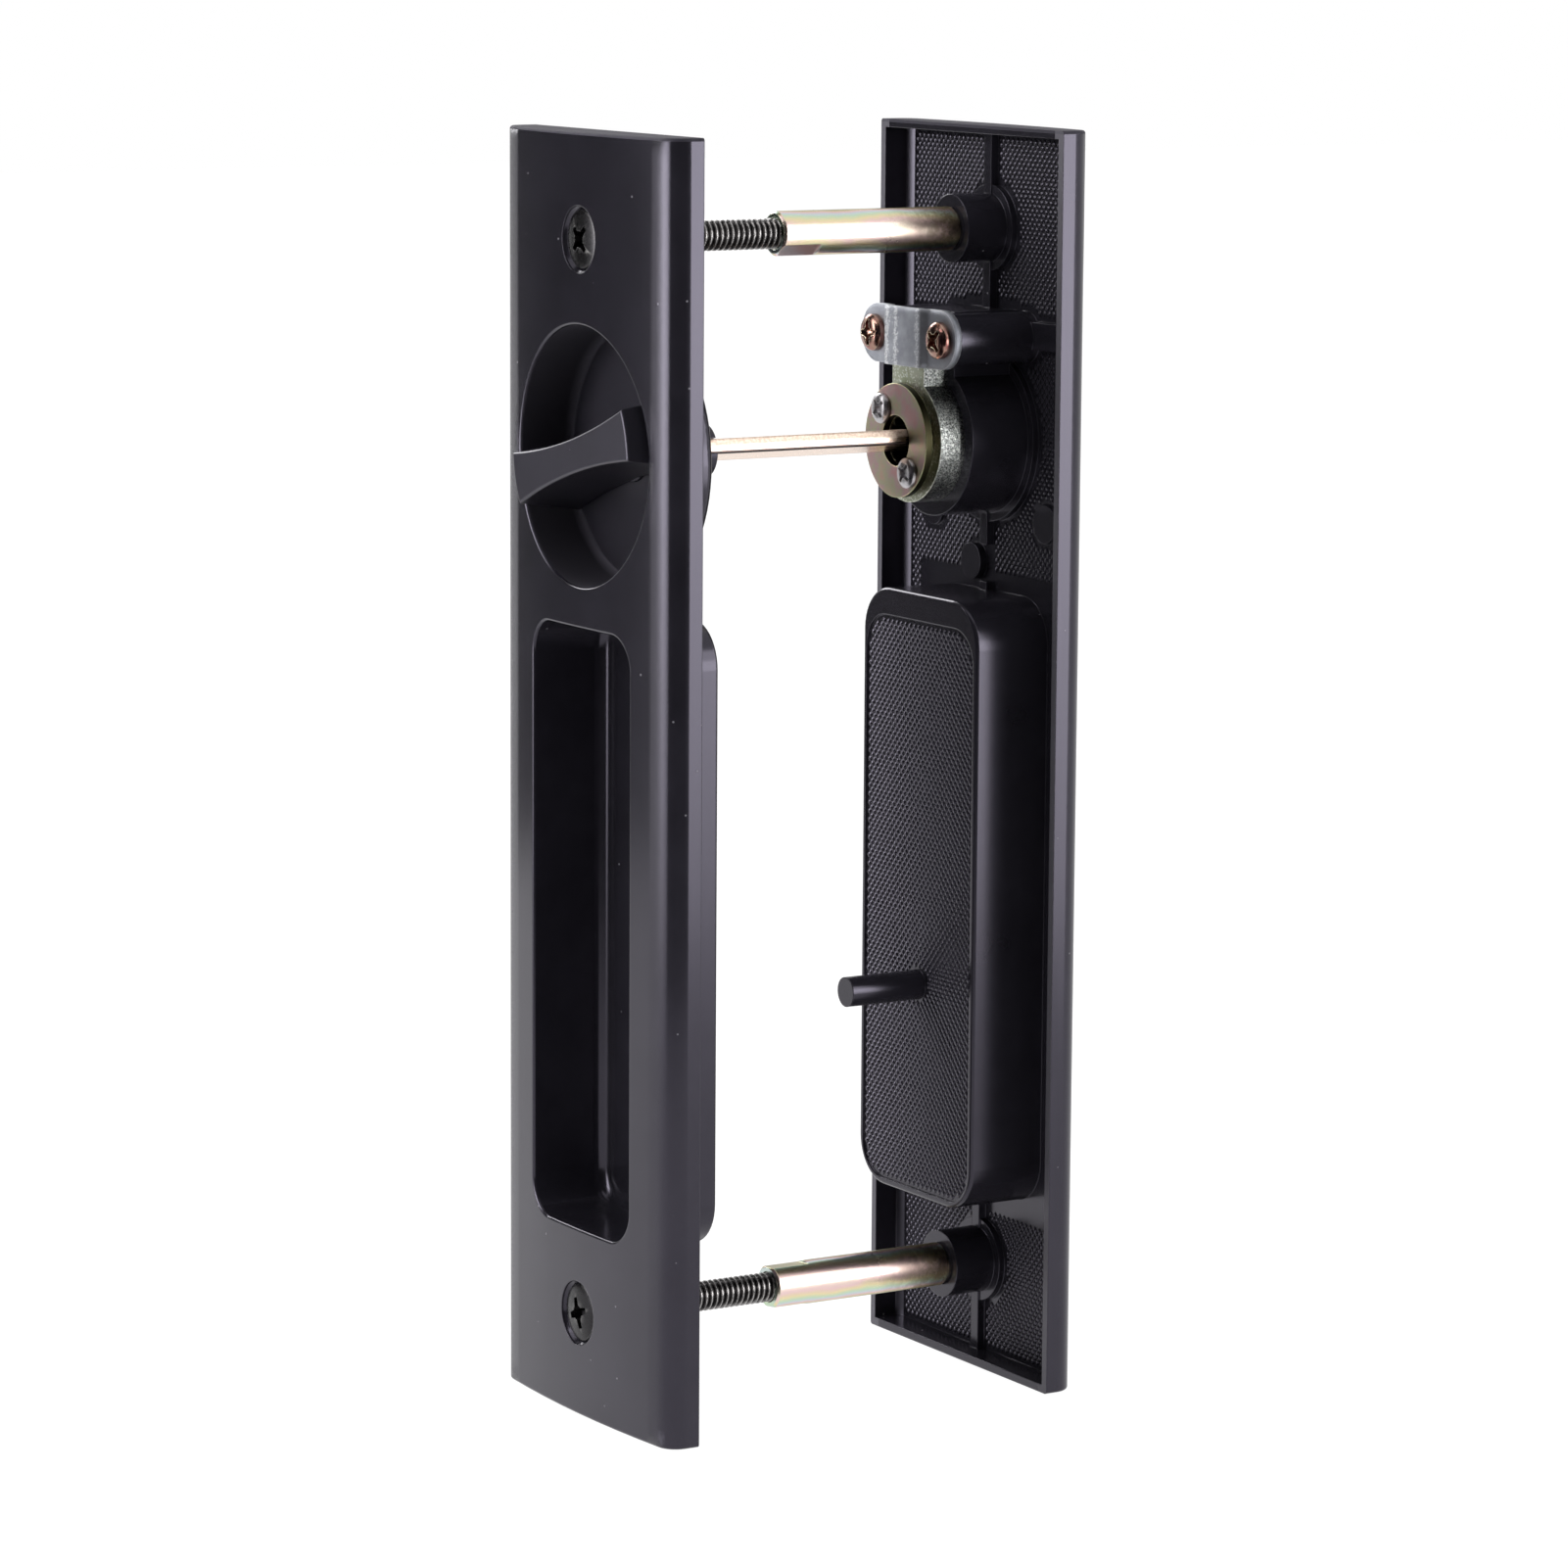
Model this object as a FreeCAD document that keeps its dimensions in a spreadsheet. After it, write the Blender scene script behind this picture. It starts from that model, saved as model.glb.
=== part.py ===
import FreeCAD, Part
import math
import os
import re
import Sketcher

# Two-sided flush handle set for a sliding patio door, in millimetres.
# X runs across the plates, Y goes through the door from the thumb-turn side to the key side,
# Z is up. The set stands on the bottom ends of both plates, with the origin under its middle.

os.makedirs("parts", exist_ok=True)
doc = FreeCAD.newDocument("PatioHandle")
sheet = doc.addObject("Spreadsheet::Sheet", "Sizes")

# Driving dimensions, each written once.
DRIVING = [
    ("plateHigh", 166.0, "length of both cast plates"),
    ("plateWide", 44.0, "width of both cast plates"),
    ("plateThick", 5.6, "crown to rim"),
    ("crownRadius", 200.0, "radius of the gently crowned outer face"),
    ("edgeRound", 2.8, "round between crown and long side"),
    ("rimWall", 1.1, "wall round the open back"),
    ("hollowDeep", 3.9, "rim to floor of the open back"),
    ("bevelWide", 1.3, "bevel between floor and long wall"),
    ("bevelHigh", 0.55, "bevel between floor and long wall"),
    ("spanApart", 64.2, "outer crown to outer crown, as loosely assembled"),
    ("ribWide", 1.7, "central stiffening rib"),
    ("ribHigh", 1.1, "central stiffening rib"),
    ("collarWide", 1.2, "collar round the foot of a boss"),
    ("collarHigh", 0.9, "collar round the foot of a boss"),
    ("screwSpacing", 139.0, "between the two through screws"),
    ("screwHoleDia", 4.3, "clearance hole for the through screws"),
    ("sinkDia", 8.5, "mouth of the countersink"),
    ("sinkRim", 0.3, "straight rim of the countersink"),
    ("bossDia", 9.0, "bosses at the through screws"),
    ("rearBossStand", 2.95, "sleeve bosses in front of the rim"),
    ("sleeveSeatDeep", 4.5, "blind seat of a sleeve in its boss"),
    ("turnAxisUp", 42.0, "turn axis above the middle of the plates"),
    ("cupDia", 33.4, "round cup of the thumb-turn"),
    ("cupDeep", 8.2, "crown to floor of the cup"),
    ("cupWall", 0.9, "wall of the cup"),
    ("cupFloor", 1.7, "floor of the cup"),
    ("cupEdge", 1.2, "rounded back edge of the cup"),
    ("cupFloorRound", 1.0, "round along the cup's floor"),
    ("mouthRound", 0.35, "round at the mouths of cup and finger pocket"),
    ("endRound", 0.4, "round at the square ends of the outer face"),
    ("gripWide", 25.2, "mouth of the finger pocket"),
    ("gripHigh", 78.4, "mouth of the finger pocket"),
    ("gripDown", 19.1, "middle of the finger pocket below the middle of the plate"),
    ("gripDeep", 11.1, "crown to floor of the finger pocket"),
    ("gripRound", 4.6, "corners of the finger pocket"),
    ("gripWall", 1.4, "wall of the finger pocket"),
    ("gripFloor", 1.6, "floor of the finger pocket"),
    ("gripFloorRound", 1.8, "round along the finger pocket's floor"),
    ("gripEdge", 0.5, "rounded back edge of the finger pocket"),
    ("panelInset", 0.4, "smooth border beside and below the sunk back panel"),
    ("panelTop", 3.1, "smooth border above the sunk back panel"),
    ("panelSunk", 0.3, "depth of the sunk back panel"),
    ("studDia", 4.0, "cast locating stud"),
    ("studLong", 11.0, "cast locating stud"),
    ("studDown", 30.9, "stud below the middle of the plate"),
    ("padDia", 5.2, "ejector pads on the hollow's floor"),
    ("padHigh", 0.5, "ejector pads on the hollow's floor"),
    ("padOut", 13.5, "outer ejector pads from the middle"),
    ("padUp", 31.5, "outer ejector pads of the key side above its middle"),
    ("ribPadDia", 4.9, "ejector pad beside the rib"),
    ("ribPadOut", 3.1, "ejector pad beside the rib, from the middle"),
    ("ribPadUp", 25.1, "ejector pad beside the rib, above the middle"),
    ("runGap", 0.05, "radial running clearance"),
    ("fitGap", 0.02, "radial clearance of a tight fit"),
    ("faceGap", 0.08, "clearance between faces that rub"),
    ("knobSideGap", 0.55, "ends of the knob to the wall of the cup"),
    ("knobEndWide", 6.6, "ends of the bow-tie knob, at its face"),
    ("knobWaist", 4.3, "middle of the bow-tie knob, at its face"),
    ("knobProud", 1.3, "knob face in front of the crown"),
    ("knobEdge", 0.35, "round along the face of the knob"),
    ("knobTaper", 6.5, "flare of the knob's sides towards the floor, degrees"),
    ("knobFloorGap", 0.4, "knob above the floor of the cup"),
    ("knobTilt", 15.5, "turn of the knob from level at rest, degrees"),
    ("hubDia", 7.0, "round hub of the knob behind the cup"),
    ("hubReach", 18.5, "crown to end of the hub"),
    ("hubSlotDeep", 5.0, "slot in the hub's end for the spindle"),
    ("crossPinDia", 1.5, "pin through hub and spindle"),
    ("crossPinIn", 2.6, "pin from the end of the hub"),
    ("bladeWide", 5.8, "flat spindle"),
    ("bladeThick", 2.0, "flat spindle"),
    ("bladeEdge", 0.3, "rounded long edges of the spindle"),
    ("bladeEndIn", 3.1, "spindle inside the plug, past the retainer disc"),
    ("washerDia", 12.4, "flat washer on the hub"),
    ("washerThick", 0.8, "flat washer on the hub"),
    ("springDia", 12.0, "cupped spring washer on the hub"),
    ("springHigh", 1.3, "cupped spring washer on the hub"),
    ("springThick", 0.4, "cupped spring washer on the hub"),
    ("clipDia", 10.4, "retaining clip"),
    ("clipThick", 0.8, "retaining clip"),
    ("clipGroove", 0.6, "depth of the clip's groove in the hub"),
    ("clipMouth", 5.0, "opening of the retaining clip"),
    ("screwDia", 4.0, "through screw"),
    ("screwLong", 40.0, "through screw, under the rim of its head"),
    ("headDia", 7.5, "head of the through screw"),
    ("headRim", 0.35, "straight rim of the head"),
    ("headRaise", 0.45, "raised oval of the head"),
    ("sleeveDia", 5.8, "internally threaded sleeve"),
    ("sleeveLong", 26.9, "sleeve between its boss and its mouth"),
    ("sleeveBore", 4.1, "bore of the sleeve"),
    ("sleeveBoreDeep", 24.0, "bore of the sleeve"),
    ("sleeveNeckDia", 5.0, "neck of the sleeve in its boss"),
    ("sleeveNeckLong", 4.3, "neck of the sleeve in its boss"),
    ("sleeveNeckShow", 0.4, "neck between its boss and the sleeve's shoulder"),
    ("sleeveFlat", 5.2, "across the wrench flats at the sleeve's mouth"),
    ("sleeveFlatLong", 5.6, "wrench flats at the sleeve's mouth"),
    ("upperFlatTurn", 55.0, "flats of the upper sleeve, down from +X, degrees"),
    ("lowerFlatTurn", 86.0, "flats of the lower sleeve, down from +X, degrees"),
    ("bodyDia", 16.4, "round of the lock cylinder"),
    ("bodyInner", 14.85, "outer crown of the key side to the cylinder's inner end"),
    ("bodyShoulder", 2.6, "outer crown of the key side to the cylinder's shoulder"),
    ("neckDia", 14.4, "neck of the cylinder through the outer face"),
    ("bodyProud", 1.0, "cylinder in front of the crown of the key side"),
    ("towerWide", 7.6, "pin tower of the cylinder"),
    ("towerUp", 15.2, "turn axis to the top of the pin tower"),
    ("towerGap", 0.15, "above the pin tower"),
    ("towerOuter", 3.0, "outer crown of the key side to the tower's outer end"),
    ("bossWall", 1.9, "cast wall round the cylinder"),
    ("bossInner", 11.2, "outer crown of the key side to the end of the cast wall"),
    ("guardWall", 1.6, "cast wall round the pin tower"),
    ("postDia", 6.8, "posts of the clamp"),
    ("postSpacing", 16.0, "between the posts of the clamp"),
    ("postInner", 13.9, "outer crown of the key side to the end of the posts"),
    ("postUp", 13.6, "turn axis to the posts of the clamp"),
    ("webThick", 3.6, "low rib across the plate at the posts"),
    ("webUp", 14.0, "turn axis to the low rib across the plate"),
    ("strapThick", 1.0, "clamp strap"),
    ("strapWide", 7.7, "clamp strap"),
    ("saddleWide", 8.6, "raised middle of the clamp strap"),
    ("saddleRamp", 0.7, "slope beside the raised middle"),
    ("clampScrewDia", 2.5, "screws of the clamp"),
    ("clampHeadDia", 4.9, "screws of the clamp"),
    ("clampHeadHigh", 1.4, "screws of the clamp"),
    ("clampScrewLong", 8.0, "screws of the clamp"),
    ("plugDia", 12.8, "plug of the cylinder"),
    ("plugFlangeDia", 13.4, "rim of the plug at its outer end"),
    ("plugFlangeLong", 1.0, "rim of the plug at its outer end"),
    ("plugStand", 0.8, "plug past the cylinder's inner end"),
    ("plugSunk", 0.2, "plug face below the cylinder's outer face"),
    ("keyWide", 1.6, "keyway"),
    ("keyHigh", 6.6, "keyway"),
    ("keyStep", 0.8, "ward step of the keyway"),
    ("keyDeep", 12.2, "keyway from the outer face of the plug"),
    ("driveDia", 6.7, "bow-tie recess for the spindle"),
    ("driveDeep", 3.6, "bow-tie recess for the spindle"),
    ("driveSwing", 65.0, "free swing of the spindle in the recess, each way, degrees"),
    ("driveMiddle", 45.0, "middle of that swing above level, degrees"),
    ("discDia", 15.0, "retainer disc"),
    ("discThick", 1.05, "retainer disc"),
    ("discHole", 6.7, "hole of the retainer disc"),
    ("discBolt", 10.3, "circle of the retainer disc's screws"),
    ("discScrewTurn", 51.0, "angle of the retainer disc's first screw above level, degrees"),
    ("discScrewDia", 2.0, "screws of the retainer disc"),
    ("discHeadDia", 4.1, "screws of the retainer disc"),
    ("discHeadHigh", 0.9, "screws of the retainer disc"),
    ("discScrewLong", 4.5, "screws of the retainer disc"),
    ("pinDia", 1.8, "key pins and driver pins"),
    ("pinCount", 4, "pin chambers"),
    ("pinPitch", 2.2, "pin chambers"),
    ("pinFirst", 4.5, "outer crown of the key side to the first chamber"),
    ("driverLong", 2.6, "driver pins"),
    ("keyPinShort", 2.0, "shortest key pin"),
    ("keyPinStep", 0.4, "step between key pin lengths"),
    ("shearGap", 0.04, "pins to the shear line"),
    ("coverThick", 0.7, "strip that closes the pin chambers"),
    ("coverLong", 10.2, "strip that closes the pin chambers"),
    ("coverWide", 3.4, "strip that closes the pin chambers"),
    ("wireThick", 0.3, "wire of the pin springs"),
    ("wireTurns", 4, "turns of a pin spring"),
]

# Sizes that follow from them.
DERIVED = [
    ("frontAt", "-(spanApart + bodyProud + knobProud) / 2 + knobProud", "front crown along Y"),
    ("rearAt", "frontAt + spanApart", "rear crown along Y"),
    ("midUp", "plateHigh / 2", "middle of the plates"),
    ("axisUp", "midUp + turnAxisUp", "turn axis"),
    ("floorAt", "plateThick - hollowDeep", "crown to floor of the hollow"),
    ("cupBack", "cupDeep + cupFloor", "crown to back of the cup"),
    ("gripBack", "gripDeep + gripFloor", "crown to back of the finger pocket"),
    ("hubHoleDia", "hubDia + 2 * runGap", "hole for the hub"),
    ("springAt", "cupBack + faceGap + washerThick", "crown to the spring washer"),
    ("clipAt", "springAt + springHigh", "crown to the retaining clip"),
    ("clipBore", "hubDia - 2 * clipGroove + 2 * fitGap", "bore of the clip"),
    ("sleeveSeatDia", "sleeveNeckDia + 2 * fitGap", "seat of a sleeve"),
    ("rearBossEnd", "plateThick + rearBossStand", "rear crown to end of a sleeve boss"),
    ("bodyHoleDia", "bodyDia + 4 * fitGap", "hole for the cylinder"),
    ("neckHoleDia", "neckDia + 4 * fitGap", "hole for the cylinder's neck"),
    ("bossOuterDia", "bodyHoleDia + 2 * bossWall", "cast wall round the cylinder"),
    ("plugInner", "bodyInner + plugStand", "rear crown to the plug's inner end"),
    ("plugOuter", "bodyProud - plugSunk", "plug in front of the rear crown"),
    ("plugBore", "plugDia + 2 * runGap", "bore for the plug"),
    ("discInner", "plugInner + discThick", "rear crown to the disc's face"),
    ("bladeEnd", "plugInner - bladeEndIn", "rear crown to the spindle's end"),
    ("strapLobe", "postInner + strapThick", "rear crown to the strap's lobes"),
    ("saddleBack", "bodyInner + fitGap", "rear crown to the back of the saddle"),
    ("pinBore", "pinDia + 2 * runGap", "pin chambers"),
    ("headAt", "sinkRim + (sinkDia - headDia) / 2 - headRim", "crown to the head's rim"),
    ("knobHigh", "cupDeep - knobFloorGap + knobProud", "height of the knob"),
    ("knobEndRadius", "cupDia / 2 - knobSideGap - knobHigh * tan(knobTaper * 1deg)", "ends at its face"),
    ("knobEndX", "sqrt(knobEndRadius ^ 2 - (knobEndWide / 2) ^ 2)", "corners of the knob"),
    ("knobHollow", "(knobEndWide - knobWaist) / 2", "hollow of the knob's long sides"),
    ("knobSide", "(knobEndX ^ 2 + knobHollow ^ 2) / (2 * knobHollow)", "radius of the long sides"),
    ("knobBack", "cupDeep - knobFloorGap", "crown to the back of the knob"),
    ("slotFloor", "hubReach - hubSlotDeep", "crown to the floor of the hub's slot"),
    ("crossPinAt", "hubReach - crossPinIn", "crown to the cross pin"),
    ("bladeLong", "spanApart - bladeEnd - slotFloor - fitGap", "length of the spindle"),
    ("pinTop", "plugDia / 2 - shearGap", "turn axis to the top of the key pins"),
    ("driverLow", "plugBore / 2 + shearGap / 2", "turn axis to the driver pins"),
    ("springLow", "driverLow + driverLong", "turn axis to the pin springs"),
    ("chamberTop", "towerUp - coverThick", "turn axis to the cover strip"),
    ("driveHalf", "bladeThick / 2 + runGap", "half the gap between the drive walls"),
    ("driveWall", "90 - driveSwing", "half the angle of a drive wall, degrees"),
    ("crownSin", "(plateWide / 2 - edgeRound) / (crownRadius - edgeRound)", "slope where crown meets round"),
    ("crownCos", "sqrt(1 - crownSin ^ 2)", "slope where crown meets round"),
    ("sideAt", "crownRadius - (crownRadius - edgeRound) * crownCos", "crown to start of the long side"),
]

for row, (alias, value, note) in enumerate(DRIVING, start=1):
    sheet.set("A%d" % row, alias)
    sheet.set("B%d" % row, repr(value))
    sheet.set("C%d" % row, note)
    sheet.setAlias("B%d" % row, alias)
for row, (alias, formula, note) in enumerate(DERIVED, start=len(DRIVING) + 1):
    sheet.set("A%d" % row, alias)
    sheet.set("B%d" % row, "=" + formula)
    sheet.set("C%d" % row, note)
    sheet.setAlias("B%d" % row, alias)
doc.recompute()

NAMES = [line[0] for line in DRIVING + DERIVED]
WORD = re.compile(r"\b(" + "|".join(NAMES) + r")\b")


def bind(text):
    """The expression with each size looked up in the sheet."""
    return WORD.sub(r"Sizes.\1", text)


def val(text):
    """The present value of an expression of sizes."""
    result = doc.Sizes.evalExpression(WORD.sub(r"\1", text))
    return float(getattr(result, "Value", result))


def moved(obj, x="0", y="0", z="0", turn=None):
    """Ties an object's Placement to the sheet. turn is an axis and an angle expression."""
    if turn:
        obj.setExpression("Placement.Rotation.Axis.x", turn[0][0])
        obj.setExpression("Placement.Rotation.Axis.y", turn[0][1])
        obj.setExpression("Placement.Rotation.Axis.z", turn[0][2])
        obj.setExpression("Placement.Rotation.Angle", bind(turn[1]))
    obj.setExpression("Placement.Base.x", bind(x))
    obj.setExpression("Placement.Base.y", bind(y))
    obj.setExpression("Placement.Base.z", bind(z))
    return obj


def newBody(label):
    body = doc.addObject("PartDesign::Body", label)
    body.Label = label
    return body


def sketchOn(body, name, role, away="0", up="0"):
    """A sketch on one of the body's own origin planes, shifted along its normal and up."""
    drawing = body.newObject("Sketcher::SketchObject", name)
    plane = [entry for entry in body.Origin.OriginFeatures if entry.Role == role][0]
    drawing.AttachmentSupport = [(plane, "")]
    drawing.MapMode = "FlatFace"
    drawing.setExpression("AttachmentOffset.Base.z", bind(away))
    drawing.setExpression("AttachmentOffset.Base.y", bind(up))
    return drawing


def across(body, name, depth, up="0"):
    """A sketch parallel to the plates, at a depth behind the crown."""
    return sketchOn(body, name, "XZ_Plane", "-(%s)" % depth, up)


def lengthwise(body, name, up="0"):
    """A sketch in the middle plane: its first axis is depth, its second is up."""
    return sketchOn(body, name, "YZ_Plane", "0", up)


def twisted(drawing, angle):
    """Turns a sketch about its own normal."""
    for axis, share in zip("xyz", "001"):
        drawing.setExpression("AttachmentOffset.Rotation.Axis." + axis, share)
    drawing.setExpression("AttachmentOffset.Rotation.Angle", bind(angle))
    return drawing


def dimension(drawing, kind, parts, text):
    number = drawing.addConstraint(Sketcher.Constraint(kind, *parts, val(text)))
    drawing.setExpression("Constraints[%d]" % number, bind(text))


def place(drawing, piece, point, right, up):
    """Fixes a point of a sketch by two expressions."""
    if right == "0":
        drawing.addConstraint(Sketcher.Constraint("PointOnObject", piece, point, -2))
    else:
        dimension(drawing, "DistanceX", (-1, 1, piece, point), right)
    if up == "0":
        drawing.addConstraint(Sketcher.Constraint("PointOnObject", piece, point, -1))
    else:
        dimension(drawing, "DistanceY", (-1, 1, piece, point), up)


def circle(drawing, diameter, right="0", up="0"):
    middle = FreeCAD.Vector(val(right), val(up), 0)
    piece = drawing.addGeometry(Part.Circle(middle, FreeCAD.Vector(0, 0, 1), val(diameter) / 2))
    dimension(drawing, "Diameter", (piece,), diameter)
    place(drawing, piece, 3, right, up)


def outline(drawing, nodes):
    """A closed outline. A node is x and y, and where an arc leads on from it, the arc's
    radius and 1 if its centre lies left of the way, or -1 if right."""
    spots = [FreeCAD.Vector(val(node[0]), val(node[1]), 0) for node in nodes]
    ends = []
    for number, node in enumerate(nodes):
        start = spots[number]
        stop = spots[(number + 1) % len(nodes)]
        if len(node) == 2:
            ends.append((drawing.addGeometry(Part.LineSegment(start, stop)), 1, 2))
            continue
        radius = val(node[2])
        chord = stop - start
        left = FreeCAD.Vector(-chord.y, chord.x, 0).normalize()
        rise = math.sqrt(max(radius ** 2 - (chord.Length / 2) ** 2, 0))
        middle = (start + stop) * 0.5 + left * (rise * node[3])
        first, last = (start, stop) if node[3] > 0 else (stop, start)
        begin = math.atan2(first.y - middle.y, first.x - middle.x)
        finish = math.atan2(last.y - middle.y, last.x - middle.x)
        if finish < begin:
            finish += 2 * math.pi
        ring = Part.Circle(middle, FreeCAD.Vector(0, 0, 1), radius)
        piece = drawing.addGeometry(Part.ArcOfCircle(ring, begin, finish))
        dimension(drawing, "Radius", (piece,), node[2])
        ends.append((piece, 1, 2) if node[3] > 0 else (piece, 2, 1))
    for number, node in enumerate(nodes):
        piece, start, stop = ends[number]
        place(drawing, piece, start, node[0], node[1])
        before = ends[number - 1]
        drawing.addConstraint(Sketcher.Constraint("Coincident", before[0], before[2], piece, start))


def block(drawing, wide, high, right="0", up="0"):
    west = "(%s) - (%s) / 2" % (right, wide)
    east = "(%s) + (%s) / 2" % (right, wide)
    south = "(%s) - (%s) / 2" % (up, high)
    north = "(%s) + (%s) / 2" % (up, high)
    outline(drawing, [(west, south), (east, south), (east, north), (west, north)])


def roundBlock(drawing, wide, high, corner, up="0"):
    """A rectangle with rounded corners, in the middle across."""
    side = "(%s) / 2" % wide
    inner = "((%s) / 2 - (%s))" % (wide, corner)
    north = "((%s) + (%s) / 2)" % (up, high)
    south = "((%s) - (%s) / 2)" % (up, high)
    outline(drawing, [
        ("-" + inner, south),
        (inner, south, corner, 1),
        (side, "%s + (%s)" % (south, corner)),
        (side, "%s - (%s)" % (north, corner), corner, 1),
        (inner, north),
        ("-" + inner, north, corner, 1),
        ("-(%s)" % side, "%s - (%s)" % (north, corner)),
        ("-(%s)" % side, "%s + (%s)" % (south, corner), corner, 1),
    ])


def grow(body, name, drawing, length, backward=False, taper=None, middle=False):
    """A pad. backward turns it against the sketch's normal, which is inward for across."""
    pad = body.newObject("PartDesign::Pad", name)
    pad.Profile = drawing
    pad.setExpression("Length", bind(length))
    pad.Reversed = backward
    pad.Midplane = middle
    if taper:
        pad.setExpression("TaperAngle", bind(taper))
    return pad


def cut(body, name, drawing, length, backward=False, middle=False):
    """A pocket against the sketch's normal, which is inward for across."""
    pocket = body.newObject("PartDesign::Pocket", name)
    pocket.Profile = drawing
    pocket.setExpression("Length", bind(length))
    pocket.Reversed = backward
    pocket.Midplane = middle
    return pocket


def spin(body, name, drawing, kind="PartDesign::Revolution"):
    """A full turn about the sketch's first axis."""
    turned = body.newObject(kind, name)
    turned.Profile = drawing
    turned.ReferenceAxis = (drawing, ["H_Axis"])
    turned.Angle = 360
    return turned


def edgesWhere(shape, test):
    return ["Edge%d" % number for number, edge in enumerate(shape.Edges, start=1) if test(edge)]


def soften(body, name, radius, test):
    """A fillet on the edges that pass the test."""
    doc.recompute()
    before = body.Tip
    picked = edgesWhere(before.Shape, test)
    fillet = body.newObject("PartDesign::Fillet", name)
    fillet.Base = (before, picked)
    fillet.setExpression("Radius", bind(radius))
    return fillet


def flatAt(depth, low=-1e9, high=1e9):
    """A test for edges that lie in one plane across the door, between two heights."""
    level = val(depth)

    def test(edge):
        box = edge.BoundBox
        flat = abs(box.YMin - level) < 1e-4 and abs(box.YMax - level) < 1e-4
        return flat and box.ZMin > low and box.ZMax < high
    return test


def throughCrown(low, high):
    """A test for edges where an opening breaks through the crown, between two heights."""
    side = val("crownRadius * crownSin") - 0.01
    deep = val("crownRadius * (1 - crownCos)")

    def test(edge):
        box = edge.BoundBox
        inside = max(box.XMax, -box.XMin) < side and box.YMax < deep
        return inside and box.ZMin > low and box.ZMax < high
    return test


def endEdge(edge):
    """The outer outline of the blank at its two square ends."""
    box = edge.BoundBox
    flat = box.ZMax - box.ZMin < 1e-6
    ends = min(abs(box.ZMin), abs(box.ZMin - val("plateHigh"))) < 1e-6
    return flat and ends and box.YMin < val("plateThick") - 1e-6


def plateBlank(body):
    """The crowned outer skin with its square ends, hollowed from the back."""
    section = sketchOn(body, "Section", "XY_Plane")
    half = "plateWide / 2"
    tangentX = "crownRadius * crownSin"
    tangentY = "crownRadius * (1 - crownCos)"
    outline(section, [
        ("-(%s)" % half, "sideAt", "edgeRound", 1),
        ("-(%s)" % tangentX, tangentY, "crownRadius", 1),
        (tangentX, tangentY, "edgeRound", 1),
        (half, "sideAt"),
        (half, "plateThick"),
        ("-(%s)" % half, "plateThick"),
    ])
    grow(body, "Skin", section, "plateHigh")
    soften(body, "EndRound", "endRound", endEdge)
    hollow = sketchOn(body, "HollowSection", "XY_Plane", "rimWall")
    inner = "(plateWide / 2 - rimWall)"
    floor = "(plateWide / 2 - rimWall - bevelWide)"
    outline(hollow, [
        ("-" + inner, "plateThick + 1"),
        ("-" + inner, "floorAt + bevelHigh"),
        ("-" + floor, "floorAt"),
        (floor, "floorAt"),
        (inner, "floorAt + bevelHigh"),
        (inner, "plateThick + 1"),
    ])
    cut(body, "Hollow", hollow, "plateHigh - 2 * rimWall", backward=True)


def plateRibs(body):
    rib = across(body, "RibLine", "floorAt")
    block(rib, "ribWide", "plateHigh - 2 * rimWall", up="midUp")
    grow(body, "Rib", rib, "ribHigh", backward=True)


def ejectorPads(body, name, diameter, high, spots):
    marks = across(body, name + "Marks", "floorAt")
    for right, up in spots:
        circle(marks, diameter, right, up)
    grow(body, name, marks, high, backward=True)


def collar(body, name, diameter, spots):
    """A low collar round the foot of a boss."""
    marks = across(body, name + "Marks", "floorAt")
    for up in spots:
        circle(marks, "%s + 2 * collarWide" % diameter, up=up)
    grow(body, name, marks, "collarHigh", backward=True)


def screwBosses(body, end):
    spots = ["midUp %s screwSpacing / 2" % sign for sign in "+-"]
    bosses = across(body, "BossMarks", "floorAt")
    for up in spots:
        circle(bosses, "bossDia", up=up)
    grow(body, "Bosses", bosses, "%s - floorAt" % end, backward=True)
    collar(body, "BossCollars", "bossDia", spots)


def gripBox(body):
    """The finger pocket's box behind the plate, with its sunk back panel."""
    box = across(body, "GripBoxMark", "floorAt")
    roundBlock(box, "gripWide + 2 * gripWall", "gripHigh + 2 * gripWall", "gripRound + gripWall",
               "midUp - gripDown")
    grow(body, "GripBox", box, "gripBack - floorAt", backward=True)


def gripCut(body):
    panel = across(body, "GripPanelMark", "gripBack")
    roundBlock(panel, "gripWide + 2 * gripWall - 2 * gripEdge - 2 * panelInset",
               "gripHigh + 2 * gripWall - 2 * gripEdge - panelTop - panelInset", "gripRound",
               "midUp - gripDown - (panelTop - panelInset) / 2")
    cut(body, "GripPanel", panel, "panelSunk", backward=True)
    mouth = across(body, "GripMark", "-1")
    roundBlock(mouth, "gripWide", "gripHigh", "gripRound", "midUp - gripDown")
    cut(body, "Grip", mouth, "gripDeep + 1")
    soften(body, "GripFloorRound", "gripFloorRound", flatAt("gripDeep"))
    soften(body, "GripMouthRound", "mouthRound", throughCrown(0, val("midUp")))


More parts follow.
